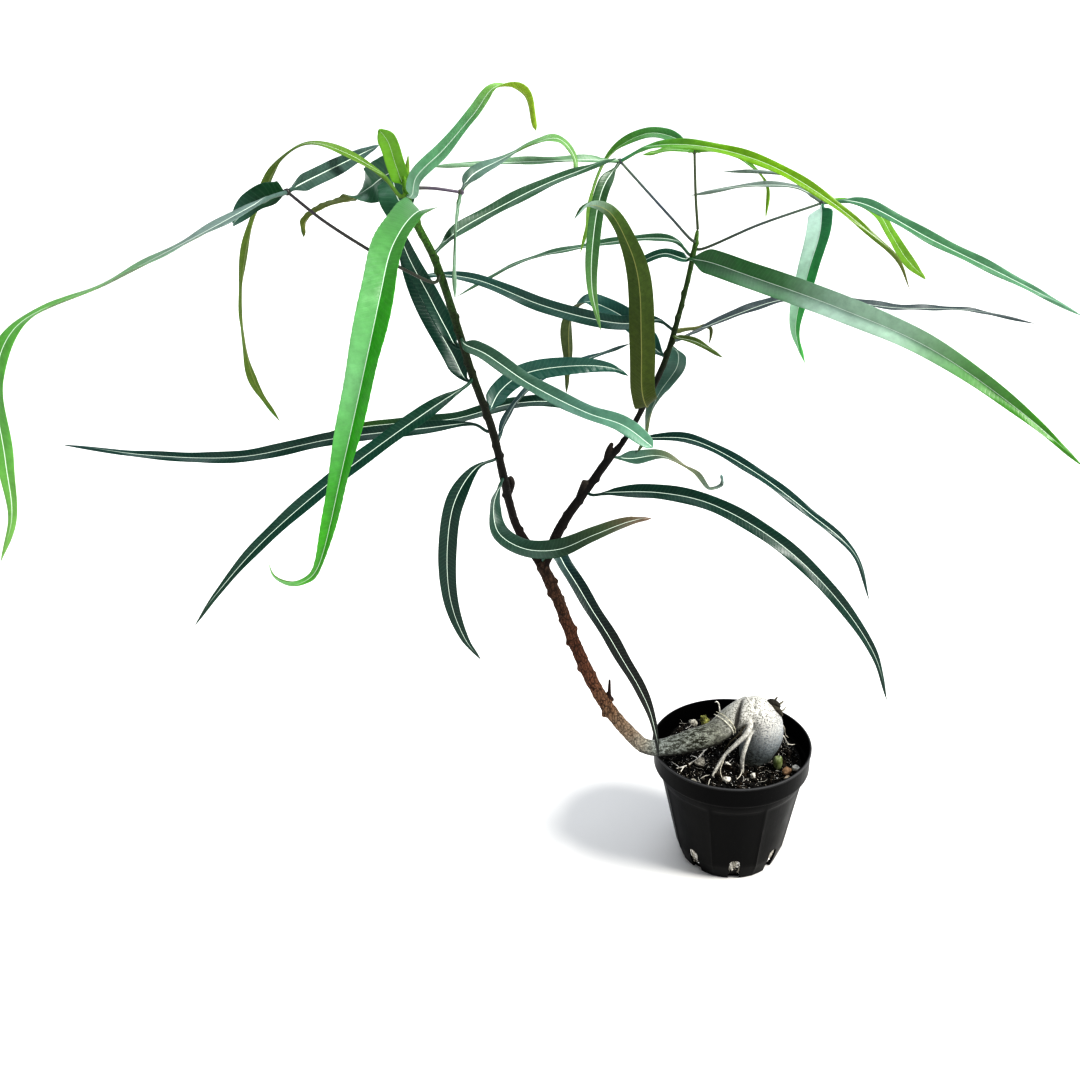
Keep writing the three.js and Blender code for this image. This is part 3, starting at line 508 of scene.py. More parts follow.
# The woody plant
# One living piece: a swollen water-storing base that arches up from the mix and over the rim, a rough
# stem, and two branches, with the stubs of pruned shoots, two front roots and a prickly twig.
# Each limb is a round one through points [x, y, z, radius].
WOOD = {
    "trunk": [[13, -3, 111, 8.5], [1, -6, 106, 8.3], [-12, -10, 98, 7.5], [-28, -13, 94, 7.2],
        [-49, -13, 90.5, 5.2], [-57, -12, 92, 4.8], [-66, -10, 101, 4.6], [-77, -8, 116, 4.4],
        [-87, -7, 136, 4.2], [-98, -6, 166, 4], [-106, -5, 193, 3.8], [-115, -5, 218, 3.8]],
    "left_branch": [[-114, -5, 216, 3.2], [-127, -6, 240, 2.6], [-131, -12, 259, 2.4],
        [-133, -18, 276, 2.4], [-137, -28, 307, 2.2], [-145, -40, 342, 2.1], [-151, -53, 375, 2],
        [-157, -67, 405, 1.9], [-164, -76, 425, 1.8], [-166, -78, 437, 1.5], [-166, -78, 442, 0.6]],
    "right_branch": [[-114, -5, 216, 3.4], [-102, -2, 240, 3.1], [-84, 1, 264, 2.5],
        [-73.4, 3, 277.6, 2.4], [-64.7, 5, 286.9, 1.6], [-53.5, 8, 305, 1.7], [-41, 12, 329, 1.7],
        [-31, 17, 359, 1.5], [-24, 20, 387, 1.5], [-22, 21, 398, 1.2]],
    "caudex": [[6, -3, 113, 4], [12, -3, 110, 8], [18, -2, 102, 11], [20, -2, 91, 12.5],
        [17, -1, 79, 11.5], [14, -1, 68, 9], [11, -1, 52, 5], [9, 0, 36, 2.5]],
    "front_root": [[9, -6, 113, 2], [9.6, -11.6, 105, 2], [6, -16.2, 99.6, 1.9], [0, -17.4, 93.6, 1.6],
        [-6.6, -17.6, 86.4, 1.2], [-11.5, -19, 79.5, 1], [-15.5, -21.5, 73, 0.9], [-18, -23, 67, 0.7]],
    "middle_root": [[12, -8, 99, 1.5], [5.8, -16.4, 90, 1.5], [3.8, -17.2, 81, 1.4], [4.2, -17, 72, 1.2],
        [4, -15, 60, 0.9]],
    "first_stub": [[-92, 0, 252, 2.6], [-88.5, 1, 261, 2.7], [-87, 1, 265.5, 2.3]],
    "second_stub": [[-75.5, 2.6, 274.5, 2.1], [-73.7, 3, 282, 1.8], [-71.4, 3, 286.8, 1.1]],
    "fork_stub": [[-131, -11, 264, 1.6], [-129, -11, 271, 1.9], [-130, -12, 275, 1.6]],
    "twig": [[-78, -8, 117, 1.6], [-77.5, -8, 127, 1.3], [-77, -8, 139, 0.8]],
}

# Skin and bark tones along each limb, from its first point to its last
BARK = {
    "trunk": "#93938c #8f9087 #8b8d80 #8f938a #9aa09b #a19d91 #968573 #846952 #6d4a38 #5d3c2c #50392b "
             "#3f3027",
    "left_branch": "#22130d #130d0a #0e0b09 #11100a #151b0c #1e2c12 #2c481a #3d6322 #548428 #74a634",
    "right_branch": "#1d120e #100c0a #0c0b0a #0c0b0a #10110c #181d10 #253717 #355122 #567a32",
    "caudex": "#85847e #8a8984 #95979a #9aa2a8 #8f989b #7d8074 #4f4c34 #2f2c1c",
    "front_root": "#b5b3ac #c9c7bf #dbd8ce #e8e5db #eeebe1 #dcd8ca",
    "middle_root": "#c6c4bb #e6e4da #f3f1e8 #ebe7da",
    "first_stub": "#130e0c #1d1713 #3a332b",
    "second_stub": "#130e0c #1d1713 #332c26",
    "fork_stub": "#130e0c #1d1713 #302923",
    "twig": "#4a281c #2c1811 #1c0f0b",
}
# How rough and corky the skin is along each limb, and how much algae grows on it
ROUGH = dict(trunk=[0.1, 0.15, 0.25, 0.3, 0.4, 0.55, 0.8, 1, 1, 1, 1, 1],
             caudex=[0.15, 0.1, 0.1, 0.1, 0.2, 0.4],
             left_branch=[0.9, 0.5, 0.4, 0.3, 0.2], right_branch=[0.9, 0.5, 0.4, 0.3, 0.2])
MOTTLE = dict(trunk=[0, 0.5, 1, 0.65, 0.3, 0.15, 0.05, 0, 0], caudex=[0, 0.05, 0.15, 0.2, 0.35, 0.8, 1])
# Thin things that lie on the skin: two strips of old bark looped over the arm, root hairs at the back of
# the crown and the right, and dry twiggy scraps. Each is [x, y, z, radius] points and a tone.
SKIN_ROOTS = [
    ([[-12.5, -6, 108.6, 0.25], [-10.3, -8.8, 108.6, 0.4], [-7.4, -13, 108.2, 0.45],
      [-4.6, -15.2, 105.8, 0.45], [-2.2, -15.6, 102, 0.35], [-1.6, -14.6, 98, 0.2]], "#e2dfd0"),
    ([[-11, -5, 109.6, 0.25], [-8.6, -8.2, 110, 0.35], [-5.6, -12, 109.4, 0.4], [-3, -14.4, 107, 0.4],
      [-0.8, -15, 103, 0.3], [-0.6, -14.4, 99, 0.2]], "#cfcbb8"),
    ([[5.5, -15.4, 105, 0.5], [0.5, -16.2, 99, 0.45], [-4, -16.2, 94, 0.4], [-8, -15, 86, 0.3]], "#4b4638"),
    ([[-7, -4, 104, 0.35], [-7.4, 1, 106, 0.4], [-7.5, 3, 107.6, 0.45], [-8, 3, 110.2, 0.45],
      [-9.2, 3, 111.7, 0.4], [-10.4, 3, 111.3, 0.25]], "#f0ede4"),
    ([[21, -1, 111, 2], [24.5, -1.5, 112, 2.3], [27.5, -2, 110.8, 1.9], [29.4, -2, 108.4, 1.2]], "#2c2922"),
    ([[24, -2.5, 110.4, 1.5], [27.2, -3.5, 108.4, 1.8], [29.8, -3.5, 105.6, 1.4], [31, -3, 102.6, 0.8]],
     "#454136"),
    ([[25.6, -1, 112, 0.8], [27.4, -0.6, 114, 0.6], [28.2, -0.6, 115.4, 0.35]], "#6d685b"),
    ([[28, -2, 110, 0.8], [30.6, -1.6, 111.4, 0.6], [31.8, -1.6, 112.8, 0.35]], "#8b8677"),
    ([[29.6, -3, 106, 0.7], [32, -3, 107.2, 0.5], [33.2, -2.6, 109, 0.3]], "#bdb9ab"),
    ([[31.2, -6.9, 91, 0.5], [33.5, -6, 86, 0.42], [35.6, -3, 80.5, 0.4], [37, 4, 75.5, 0.35],
      [39.4, 10, 71.6, 0.25]], "#e4e0d4"),
    ([[35, -4, 82, 0.35], [38, -3, 80.5, 0.3], [40.6, 0, 78.6, 0.25], [42.4, 5, 75, 0.2]], "#e4e0d4"),
    ([[31.6, -3, 96, 0.4], [33.4, -1, 92, 0.35], [34.6, 1, 86, 0.3], [37.6, 4, 81, 0.25]], "#d6d1c2"),
    ([[-7, -17, 84, 0.7], [-10.6, -19, 78.6, 0.5], [-14.4, -21, 73.4, 0.42], [-17.5, -24, 72.2, 0.35],
      [-19, -29, 72, 0.25]], "#e9e5d9"),
    ([[-14.4, -21, 73.6, 0.4], [-19.5, -20.5, 73, 0.3], [-23, -22.5, 72.5, 0.25]], "#e9e5d9"),
    ([[-8, -18, 82, 0.45], [-10.5, -21.5, 77, 0.36], [-9.6, -25.5, 73, 0.25]], "#ddd8c9"),
    ([[4, -17.6, 75, 0.6], [2.6, -20, 72, 0.42], [-0.6, -24, 71.6, 0.28]], "#f0ece0"),
]
VOXEL = 0.55
# Folds in the skin, [x, y, z, half width, depth]: the deep one between the arm and the swollen base, and
# the shallower ones that run down from the crown
FOLDS = [
    [[4.5, -4, 117, 1.4, 1.1], [3, -8, 115.2, 1.6, 1.5], [1.8, -11, 113, 1.8, 1.8],
     [1, -13, 110, 1.9, 2], [0.6, -14.5, 106, 1.9, 2], [0, -15, 101, 1.8, 1.7], [-1, -14, 97, 1.6, 1]],
    [[14, -5, 117.5, 1.2, 0.5], [12.4, -9, 114, 1.4, 0.9], [11, -11.5, 109, 1.4, 0.9],
     [10.5, -12, 104, 1.3, 0.6]],
    [[-14, -2, 109.5, 1, 0.5], [-15, -10, 108, 1.1, 0.6], [-17, -17, 102, 1, 0.5]],
    [[21, -3, 113, 1.1, 0.4], [22, -8, 109, 1.2, 0.6], [21, -12, 103, 1.1, 0.5]],
]
SCAR_SPACING = 6.5
SCARRED_FROM = 75
# How high leaf scars stand on a limb, and how wide they are
SCARS = {"trunk": (2.1, 1.9), "left_branch": (0.8, 1.5), "right_branch": (0.8, 1.5)}
GOLDEN_ANGLE = np.radians(137.5)
# Painted shade under the arm: where it ends, how high it reaches, and from where it fades to a quarter
ARM_END = -60
SHADE_TOP = 130
SHADE_FADES_AT = 6
CROWN = [15, -8, 110]
CROWN_REACH = 19
MOSSY_FOOT = [10, -10, 77]
MOSS_REACH = 9
LIMB_RINGS = 10
LIMB_SIDES = 28
SKIN_ROOT_RINGS = 8
SKIN_ROOT_SIDES = 7
POINTS_AT_ONCE = 4000


def creases(points):
    """How deep the folds are at each point: each runs as a smooth line, and dips as a bell curve of its
    half width around it."""
    lines = np.vstack([curve_through(fold, 10) for fold in FOLDS])
    away = np.linalg.norm(points[:, None] - lines[:, :3], axis=-1)
    return np.max(lines[:, 4] * np.exp(-(away / lines[:, 3]) ** 2), axis=1)


def leaf_scars(points):
    """How high the old leaf scars stand: bumps a set spacing apart up the stem and branches, each turned on
    by the golden angle and higher on the stem."""
    total = np.zeros(len(points))
    for name, (height, width) in SCARS.items():
        length = even_steps(WOOD[name], 2)[1][-1]
        line, at = even_steps(WOOD[name], int(length / SCAR_SPACING))
        along = directions(line[:, :3])
        side = unit(np.cross(along, [0.2, 1, 0.1]))
        turn = np.arange(len(line))[:, None] * GOLDEN_ANGLE
        out = side * np.cos(turn) + np.cross(along, side) * np.sin(turn)
        knobs = line[:, :3] + out * line[:, 3:4]
        size = height * random.uniform(0.5, 1.1, len(line))
        if name == "trunk":
            size *= smooth((at - SCARRED_FROM) / 30)
        away = np.linalg.norm(points[:, None] - knobs, axis=-1)
        total = np.maximum(total, np.max(size * np.exp(-(away / width) ** 2), axis=1))
    return total


def nearest_limb(points):
    """For each point, the limb whose surface is nearest (distance to its axis less its radius) and how far
    along that limb it lies, from 0 to 1, worked out for POINTS_AT_ONCE."""
    names = list(WOOD)
    axes = [curve_through(WOOD[name], 12) for name in names]
    owner = np.repeat(np.arange(len(names)), [len(axis) for axis in axes])
    share = np.concatenate([np.linspace(0, 1, len(axis)) for axis in axes])
    axes = np.vstack(axes)
    best = np.concatenate([
        np.argmin(np.linalg.norm(some[:, None] - axes[:, :3], axis=-1) - axes[:, 3], axis=1)
        for some in np.array_split(points, len(points) // POINTS_AT_ONCE + 1)])
    return owner[best], share[best]


def along_limbs(table, owner, share, default):
    """Reads a table of keys, one row for each limb, at each point's limb and place along it."""
    values = np.array([keyed(table.get(name, default), share) for name in WOOD])
    return values[owner, np.arange(len(share))]


# Living bark: smooth, silvery and a little glossy on the swollen base, mottled with olive algae along the
# arm, corky and red-brown on the stem, and green where the shoots are young. Painted shade darkens it in the
# deep folds and under the arm.
bark, add, place = new_finish("living_bark")
tint = add("Attribute", attribute_name="tint").outputs["Color"]
corky, algae, flaky, hollow = (add("Attribute", attribute_name=key).outputs["Fac"]
                               for key in ("corky", "algae", "flaky", "hollow"))
drawn = add("Mapping", {"Vector": place, "Rotation": (0, np.radians(15), np.radians(20)),
            "Scale": (0.45, 1.2, 1)})
patch = add("TexNoise", {"Vector": drawn, "Scale": 620, "Detail": 7, "Roughness": 0.78})
fine = add("TexNoise", {"Vector": place, "Scale": 900, "Detail": 4, "Roughness": 0.7})
long = add("Mapping", {"Vector": place, "Scale": (1, 1, 0.4)})
crack = add("TexVoronoi", {"Vector": long, "Scale": 520}, feature="DISTANCE_TO_EDGE")
shade = add("MapRange", {0: fine, 1: 0.32, 2: 0.68, 3: 0.42, 4: 1.5})
toned = add("VectorMath", {0: tint, 1: shade}, operation="MULTIPLY")
spots = add("MapRange", {0: patch, 1: 0.475, 2: 0.525})
grown = add("Math", {0: spots, 1: algae}, operation="MULTIPLY")
mottled = add("Mix", {0: grown, 6: toned, 7: "#1f2010"}, data_type="RGBA")
flecks = add("TexNoise", {"Vector": place, "Scale": 1150, "Detail": 3, "Roughness": 0.6})
scaly = add("MapRange", {0: flecks, 1: 0.43, 2: 0.5})
white = add("Math", {0: scaly, 1: flaky}, operation="MULTIPLY")
bare = add("Math", {0: flaky, 1: 0.6}, operation="MULTIPLY")
worn = add("Mix", {0: bare, 6: mottled, 7: "#7f7d74"}, data_type="RGBA")
flaked = add("Mix", {0: white, 6: worn, 7: "#e4e2dc"}, data_type="RGBA")
line = add("MapRange", {0: crack.outputs["Distance"], 1: 0, 2: 0.14, 3: 0.85, 4: 0})
split = add("Math", {0: line, 1: corky}, operation="MULTIPLY")
cracked = add("Mix", {0: split, 6: flaked, 7: "#170e09"}, data_type="RGBA")
gloss = add("MapRange", {0: corky, 3: 0.42, 4: 0.8})
# Painted shade: this darkens the skin towards near black in the folds and under the arm.
with_painted_shade = add("Mix", {0: hollow, 6: cracked, 7: "#1d1a14"}, data_type="RGBA")
height = add("Math", {0: fine, 1: patch}, operation="ADD")
depth = add("MapRange", {0: corky, 3: 0.35, 4: 1})
relief = add("Bump", {"Height": height, "Distance": 0.0006, "Strength": depth})
skin = add("BsdfPrincipled", {"Base Color": with_painted_shade, "Specular IOR Level": 0.25, "Roughness": gloss,
           "Normal": relief})
add("OutputMaterial", {"Surface": skin})

limbs = joined([tube(route, LIMB_RINGS * len(route), LIMB_SIDES) for route in WOOD.values()])
wood = piece("grown_wood", *limbs, [bark])
remesh = wood.modifiers.new("one skin", "REMESH")
remesh.mode = "VOXEL"
remesh.voxel_size = VOXEL * 0.001
even = wood.modifiers.new("healed joints", "SMOOTH")
even.factor = 0.5
even.iterations = 5
settle(wood)
mesh = wood.data
points, outward = np.empty((2, len(mesh.vertices) * 3))
mesh.vertices.foreach_get("co", points)
mesh.vertices.foreach_get("normal", outward)
points = points.reshape(-1, 3) * 1000
outward = outward.reshape(-1, 3)
owner, share = nearest_limb(points)
corky_share = along_limbs(ROUGH, owner, share, [0.3, 0.3])
thick = along_limbs({name: [p[3] for p in WOOD[name]] for name in WOOD}, owner, share, [1, 1])
smooth_skin = 0.3 * lumps(points, 9, 3) + 0.16 * lumps(points, 3.4, 4)
rough_skin = 0.34 * lumps(points, 2.4, 5) + 0.3 * np.abs(lumps(points * [1, 1, 0.45], 1.3, 6)) - 0.4
folded = creases(points)
heap = leaf_scars(points) - folded
relief_mm = mix(smooth_skin, rough_skin, smooth(corky_share * 1.4 - 0.3)) * np.clip(thick / 5, 0.35, 1)
points += outward * (relief_mm + heap)[:, None]
mesh.vertices.foreach_set("co", (points * 0.001).ravel())
# Painted shade under the arm: its skin is darkened where it faces down, up to a set height, and a quarter as
# much on the swollen base. White flakes cling round the crown.
underside_shade = smooth(-outward[:, 2] * 1.1 + 0.15) * (points[:, 0] > ARM_END)
underside_shade *= smooth((SHADE_TOP - points[:, 2]) / 15)
underside_shade *= 1 - 0.75 * smooth((points[:, 0] - SHADE_FADES_AT) / 8)
flakes = np.exp(-(np.linalg.norm(points - CROWN, axis=1) / CROWN_REACH) ** 2) * smooth(outward[:, 2] + 0.9)
# Algae as on the arm, and again round the damp left foot of the swollen base
damp = 0.85 * np.exp(-(np.linalg.norm(points - MOSSY_FOOT, axis=1) / MOSS_REACH) ** 2)
grown = np.maximum(along_limbs(MOTTLE, owner, share, [0, 0]), damp)
bark_tones = {name: linear(tones)[:, :3] for name, tones in BARK.items()}
shift = np.clip(share + 0.02 * lumps(points, 5, 8), 0, 1)
wood_tint = np.hstack([along_limbs(bark_tones, owner, shift, [[1] * 3]), np.ones((len(points), 1))])
skin_parts = [tube(route, SKIN_ROOT_RINGS * len(route), SKIN_ROOT_SIDES) for route, _ in SKIN_ROOTS]
skin_tint = [np.repeat(linear(tone), len(part[0]), axis=0)
             for part, (_, tone) in zip(skin_parts, SKIN_ROOTS)]
corners = np.empty(len(mesh.loops), dtype=np.int32)
mesh.loops.foreach_get("vertex_index", corners)
faces = np.split(corners, np.cumsum([p.loop_total for p in mesh.polygons])[:-1])
bpy.data.objects.remove(wood)
skin_points, skin_faces = joined(skin_parts)
faces = [face.tolist() for face in faces] + [[c + len(points) for c in face] for face in skin_faces]
plain = np.zeros(len(skin_points))
# Painted shade goes in as one of the attributes: the deeper folds and the skin under the arm are darkened.
plant = piece("woody_plant", np.vstack([points, skin_points]), faces, [bark],
              tint=np.vstack([wood_tint] + skin_tint), corky=np.r_[corky_share, plain + 0.4],
              hollow=np.r_[np.clip(np.maximum(folded * 0.9 - 0.35, underside_shade), 0, 0.9), plain],
              flaky=np.r_[flakes, plain], algae=np.r_[grown, plain])
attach(plant, "root")
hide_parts("plant_wood")

# The leaves
# Long living strap leaves, leathery and waxed: dark bluish green with a pale midrib where they are old,
# bright green where young. Each grows on a short round stalk out of the bark, as one blade drawn round
# its route, and is widest a third of the way along.

# A route starts where the photograph shows the stalk leave the limb that its leaf is named after. turn is
# how far the face is rolled at even steps along it, in degrees, and upper and under are the colours of
# the two sides from foot to tip. blade() explains the rest.
# The keys that pale the upper skin's two halves towards a sheen tone paint a highlight into the leaf's
# colour.
LEAVES = {
    "leaf_trunk": dict(
        wide=9.5, swell=0.1, turn=[-30, -30, -30, -35, -40],
        route=[[-113, -9, 223], [-106.3, -16, 229.6], [-101.1, -21, 221.9], [-95.3, -25, 212.5],
               [-87.8, -29.5, 199], [-79, -33, 183.6], [-71.4, -35.5, 168.8], [-62, -37.5, 150.3],
               [-56, -38.5, 134.5], [-52.5, -39.5, 116.9], [-51.1, -40, 102.9]],
        painted_sheen=[[0.03, 0, 0, 0, 0, 0], [0.12, 0.04, 0, 0, 0, 0]],
        upper="#0b4142 #062320 #020a07 #010503 #020b07", under="#395037"),
    "leaf_left_01": dict(
        wide=11, taper=0.6, turn=[25, -5, -46, -48, -36],
        route=[[-134, -22, 277], [-139, -36, 268], [-137, -47, 257], [-124, -56, 251], [-106, -62, 252],
               [-87, -66, 261], [-67, -64, 267], [-57, -62, 267]],
        upper="#27443a #2c483d #2a473a #2b4333 #404e37 #6b5647", under="#445940 #3f4e38"),
    "leaf_left_02": dict(
        wide=10.5, swell=0.25, turn=[50, 45, 50, 55, 65],
        route=[[-137, -24, 290], [-147, -30, 288], [-159, -37, 273], [-165, -41, 249], [-166, -43, 217],
               [-160, -43, 192], [-152, -42, 177]],
        upper="#0b3429 #083026 #0a2f25", under="#3a523b"),
    "leaf_left_03": dict(
        wide=7, turn=[15, 10, 0, -5],
        route=[[-135, -22, 299], [-131, -12, 306], [-124, 0, 314], [-108, 11, 324], [-84, 22, 330],
               [-58, 34, 335]],
        upper="#173b39 #1e4443", under="#3a5045"),
    "leaf_left_04": dict(
        wide=8, turn=[40, 60, 60, 50, 40],
        route=[[-140, -27, 307], [-147, -20, 309], [-175, -10, 305], [-227, -2, 299], [-280, 2, 290],
               [-330, 6, 292], [-382, 10, 300]],
        upper="#0b362a #12392e #193c37", under="#405443"),
    "leaf_left_05": dict(
        wide=11, crimp=0.12, swell=0.1, turn=[-55, -65, -70, -75],
        route=[[-138, -30, 319], [-132, -22, 327], [-120, -17, 334], [-94, -12, 336], [-72, -9, 333],
               [-63, -8, 328]],
        upper="#1b463c #245247 #255447", under="#445940"),
    "leaf_left_06": dict(
        wide=8.6, turn=[50, 55, 55, 55],
        route=[[-147, -44, 338], [-162, -56, 332], [-192, -65, 315], [-226, -72, 293], [-257, -78, 269],
               [-280, -81, 246], [-294, -82, 229]],
        upper="#0a3d2a #0f3e32 #103727", under="#3a5242"),
    "leaf_left_07": dict(
        wide=11, turn=[55, 60, 60],
        route=[[-148, -37, 338], [-155, -31, 351], [-166, -24, 372], [-173, -22, 389], [-178, -22, 408]],
        upper="#063228 #0a372b", under="#3a523b"),
    "leaf_left_08": dict(
        wide=10, turn=[65, 75, 75],
        route=[[-151, -45, 357], [-156, -42, 366], [-164, -40, 384], [-171, -42, 401], [-176, -52, 423]],
        upper="#08372b #0f3c2c", under="#3a523b"),
    "leaf_left_09": dict(
        wide=8.6, swell=0.1, taper=0.9, point=0.4, turn=[-40, -35, -35, -40],
        route=[[-147, -54, 361], [-137, -63, 358], [-116, -80, 346.5], [-90, -95, 335.5],
               [-74, -101, 330.5], [-61, -106, 321]],
        upper="#355242 #426150 #517667 #639077", under="#526c49"),
    "leaf_left_10": dict(
        wide=7, turn=[-30, -45, -50, -50, -40],
        route=[[-155, -65, 408], [-147, -58, 414], [-126, -46, 423], [-102, -37, 432], [-69, -30, 441]],
        upper="#33553e #30523b #3c6146", under="#47683d"),
    "leaf_left_11": dict(
        wide=17, crimp=0.16, heading=150, fold=10, swell=0.08, turn=[80, 68, 60, 90, -13, -8, 10],
        route=[[-166, -72, 425], [-171, -67, 432], [-173, -59, 438], [-175, -51, 441], [-181, -45, 438],
               [-187, -38, 434], [-197, -34, 429], [-210, -34, 426], [-220, -36, 420], [-221, -38, 413]],
        upper="#2c593f #305f46 #3f6240", under="#4c592a #505c26"),
    "leaf_left_12": dict(
        wide=16, crimp=0.14, heading=300, fold=28, swell=0.08, taper=0.3, point=1,
        turn=[45, 15, -10, -35, -50, -52, -55, -60, -70],
        route=[[-163, -81, 425], [-159, -94, 429], [-161, -113, 429], [-164, -132, 426],
               [-167, -150, 420], [-170, -165, 408], [-175, -172, 391], [-189, -176, 348],
               [-206, -176, 301], [-211, -175, 296], [-218, -174, 294], [-225, -172, 297],
               [-227, -170, 303]],
        painted_sheen=[[0, 0, 0, 0], [0.04, 0.04, 0.04, 0.05, 0.1, 0.16, 0.22, 0.12, 0.03, 0, 0.05, 0.3]],
        upper="#4a7a4f #487c43 #438a34 #34961c #379a1a #419c1c #5a9a3a", under="#537937"),
    "leaf_left_13": dict(
        wide=6.8, swell=0.08, taper=0.2, point=0.38, turn=[-94, -90, -88, -71, -60, 62, 80],
        route=[[-163, -82, 434], [-160, -87, 442], [-147, -92, 453], [-133, -98, 466.5],
               [-123, -102, 476.5], [-112, -100, 474], [-108, -100, 459]],
        painted_sheen=[[0.3, 0.1, 0.06, 0.06, 0], [0.45, 0.12, 0.06, 0.06, 0]],
        upper="#4c8a64 #5b9c6b #5c9f63 #7fae3c #8fb02c", under="#7f9a30"),
    "leaf_left_14": dict(
        wide=5.5, fold=5, taper=0.8, midrib=0.4, turn=[30, 25, 20, -26, -19, -16, 14, -38, 0],
        route=[[-168, -82, 434], [-174, -86, 443], [-188, -88, 453], [-204, -87, 458], [-216, -84, 453],
               [-229, -80, 437], [-242, -78, 408], [-247, -78, 374], [-245, -78, 353], [-236, -78, 334]],
        upper="#537627 #5f822d #53692d #465e2c #3c752b #3c7928", under="#53682a"),
    "leaf_left_15": dict(
        wide=8.5, taper=0.8, midrib=0.4, turn=[125, 130, 125],
        route=[[-167, -77, 439], [-169, -80, 447], [-171, -84, 457], [-174, -86, 462]],
        upper="#669c2b #6ea32d #65972a", under="#6a942a"),
    "leaf_left_bud": dict(
        wide=2.4, turn=[100, 100],
        route=[[-165, -76, 438], [-165, -74, 443], [-164, -72, 450]],
        upper="#6c8c37 #7f9643", under="#6c8c37"),
    "leaf_right_01": dict(
        wide=9.4, turn=[-40, -45, -50, -60, -65],
        route=[[-85, -2, 258], [-72, -13, 263], [-47, -24, 265.5], [-22, -36, 262.5], [11, -52, 245.5],
               [40, -64, 217.5], [62, -70, 184], [71, -71, 155]],
        upper="#0c3429 #0c382c #093329", under="#3a523b"),
    "leaf_right_02": dict(
        wide=9.5, point=0.4, turn=[-60, -35, -15, 0, 15],
        route=[[-71, 4, 278], [-60, 13, 273], [-42, 26, 269], [-20, 42, 252], [-8, 49, 237], [0, 51, 239],
               [-1, 51, 246]],
        upper="#35584a #3f5f50 #5f6644 #6d6a45 #6d8a86", under="#66713f #6d7040 #6d8a86"),
    "leaf_right_03": dict(
        wide=6.5, turn=[-30, -35, -40, -45, -55],
        route=[[-64, 4, 290], [-54, -4, 291], [-30, -14, 292], [0, -30, 279], [29, -44, 258],
               [52, -53, 237], [62, -55, 209]],
        upper="#113831 #193f38 #1a3d37", under="#405443"),
    "leaf_right_04": dict(
        wide=8, turn=[45, 45, 50, 45],
        route=[[-64, 4, 291], [-75, 9, 297], [-97, 16, 307], [-125, 18, 308], [-160, 14, 302],
               [-193, 14, 301], [-225, 15, 298], [-251, 14, 290]],
        upper="#16372d #193a2f #244430 #4d6e00", under="#445940"),
    "leaf_right_05": dict(
        wide=14, swell=0.018, turn=[-60, -20, -20, -25, -20, -60],
        route=[[-50, 3, 316], [-53, -10, 311], [-57, -22, 323], [-58, -30, 350], [-60, -37, 385],
               [-65, -41, 402], [-75, -45, 419], [-85, -46, 422], [-91, -46, 416]],
        upper="#34582e #2f542a", under="#3c4217 #3f4819 #42501b #404e1b #3e4f1e #3f5220 #47602a #a9c2b8"),
    "leaf_right_06": dict(
        wide=12, turn=[40, 60, 50, 0, -30, -40],
        route=[[-40, 14, 331], [-45, 26, 334], [-55, 37, 345], [-70, 46, 353.5], [-82, 46, 357.5],
               [-91, 45, 349], [-93, 45, 324], [-95, 44, 305]],
        upper="#2b554a #2e5b54 #486445", under="#475330 #4c5937"),
    "leaf_right_07": dict(
        wide=13, turn=[45, 55, 45, 5, -15],
        route=[[-35, 19, 335], [-31, 28, 329], [-31, 35, 319], [-41, 34, 305], [-47, 27, 295],
               [-51, 19, 283], [-56, 16, 276]],
        upper="#4a6b60 #527468 #5e6c51", under="#455432"),
    "leaf_right_08": dict(
        wide=8, turn=[-5, -20, -30, -20, -30],
        route=[[-34, 16, 340], [-24, 23, 342], [6, 43, 347], [34, 59, 350], [67, 76, 345], [113, 94, 334],
               [165, 107, 327], [213, 116, 314]],
        upper="#3d484c #414d4f #384447", under="#445954"),
    "leaf_right_09": dict(
        wide=4.5, midrib=0.5, turn=[-25, -20],
        route=[[-35, 11, 343], [-25, 1, 342], [-12, -7, 335]],
        upper="#435422 #4c612a", under="#4c552e"),
    "leaf_right_10": dict(
        wide=4, turn=[-190, -200, -220, -280],
        route=[[-35, 20, 344], [-27, 29, 343], [-18, 35, 342], [-14, 38, 342], [-11, 39, 340],
               [-11, 39, 335], [-12, 39, 331]],
        upper="#33482a #435429", under="#4c552e"),
    "leaf_right_11": dict(
        wide=9, turn=[35, 65, 65, 50, 45],
        route=[[-36, 17, 346], [-43, 23, 350], [-61, 28, 348], [-81, 33, 351], [-108, 38, 359],
               [-144, 43, 374], [-167, 46, 377], [-184, 48, 374]],
        upper="#21433a #264941 #2e5049", under="#445940"),
    "leaf_right_12": dict(
        wide=14.5, fold=26, swell=0.08, taper=0.3, midrib=0.8, turn=[-65, -65, -60, -50],
        route=[[-27, 16, 384], [-19, 4, 384], [-2, -18, 380], [35, -53, 369], [70, -86, 355],
               [105, -112, 330], [128, -126, 309]],
        painted_sheen=[[0, 0, 0.04, 0.4, 0.42, 0.1, 0, 0], [0.03, 0.04, 0.12, 0.5, 0.45, 0.1, 0, 0]],
        upper="#1f5a28 #226028 #2f6b30 #417f2b #438423 #468424", under="#537943"),
    "leaf_right_13": dict(
        wide=6.5, turn=[35, 50, 60],
        route=[[-30, 17, 384], [-39, 24, 386], [-49, 31, 382], [-57, 37, 376]],
        upper="#1d4b3a #225642", under="#3a523b"),
    "leaf_right_14": dict(
        wide=5.5, turn=[40, 40, 25, 20, 15],
        route=[[-26, 23, 385], [-32, 32, 391], [-45, 41, 392], [-75, 53, 388], [-116, 66, 379],
               [-140, 71, 368], [-157, 73, 359]],
        upper="#355e42 #486d53 #5d7a66", under="#526c53"),
}

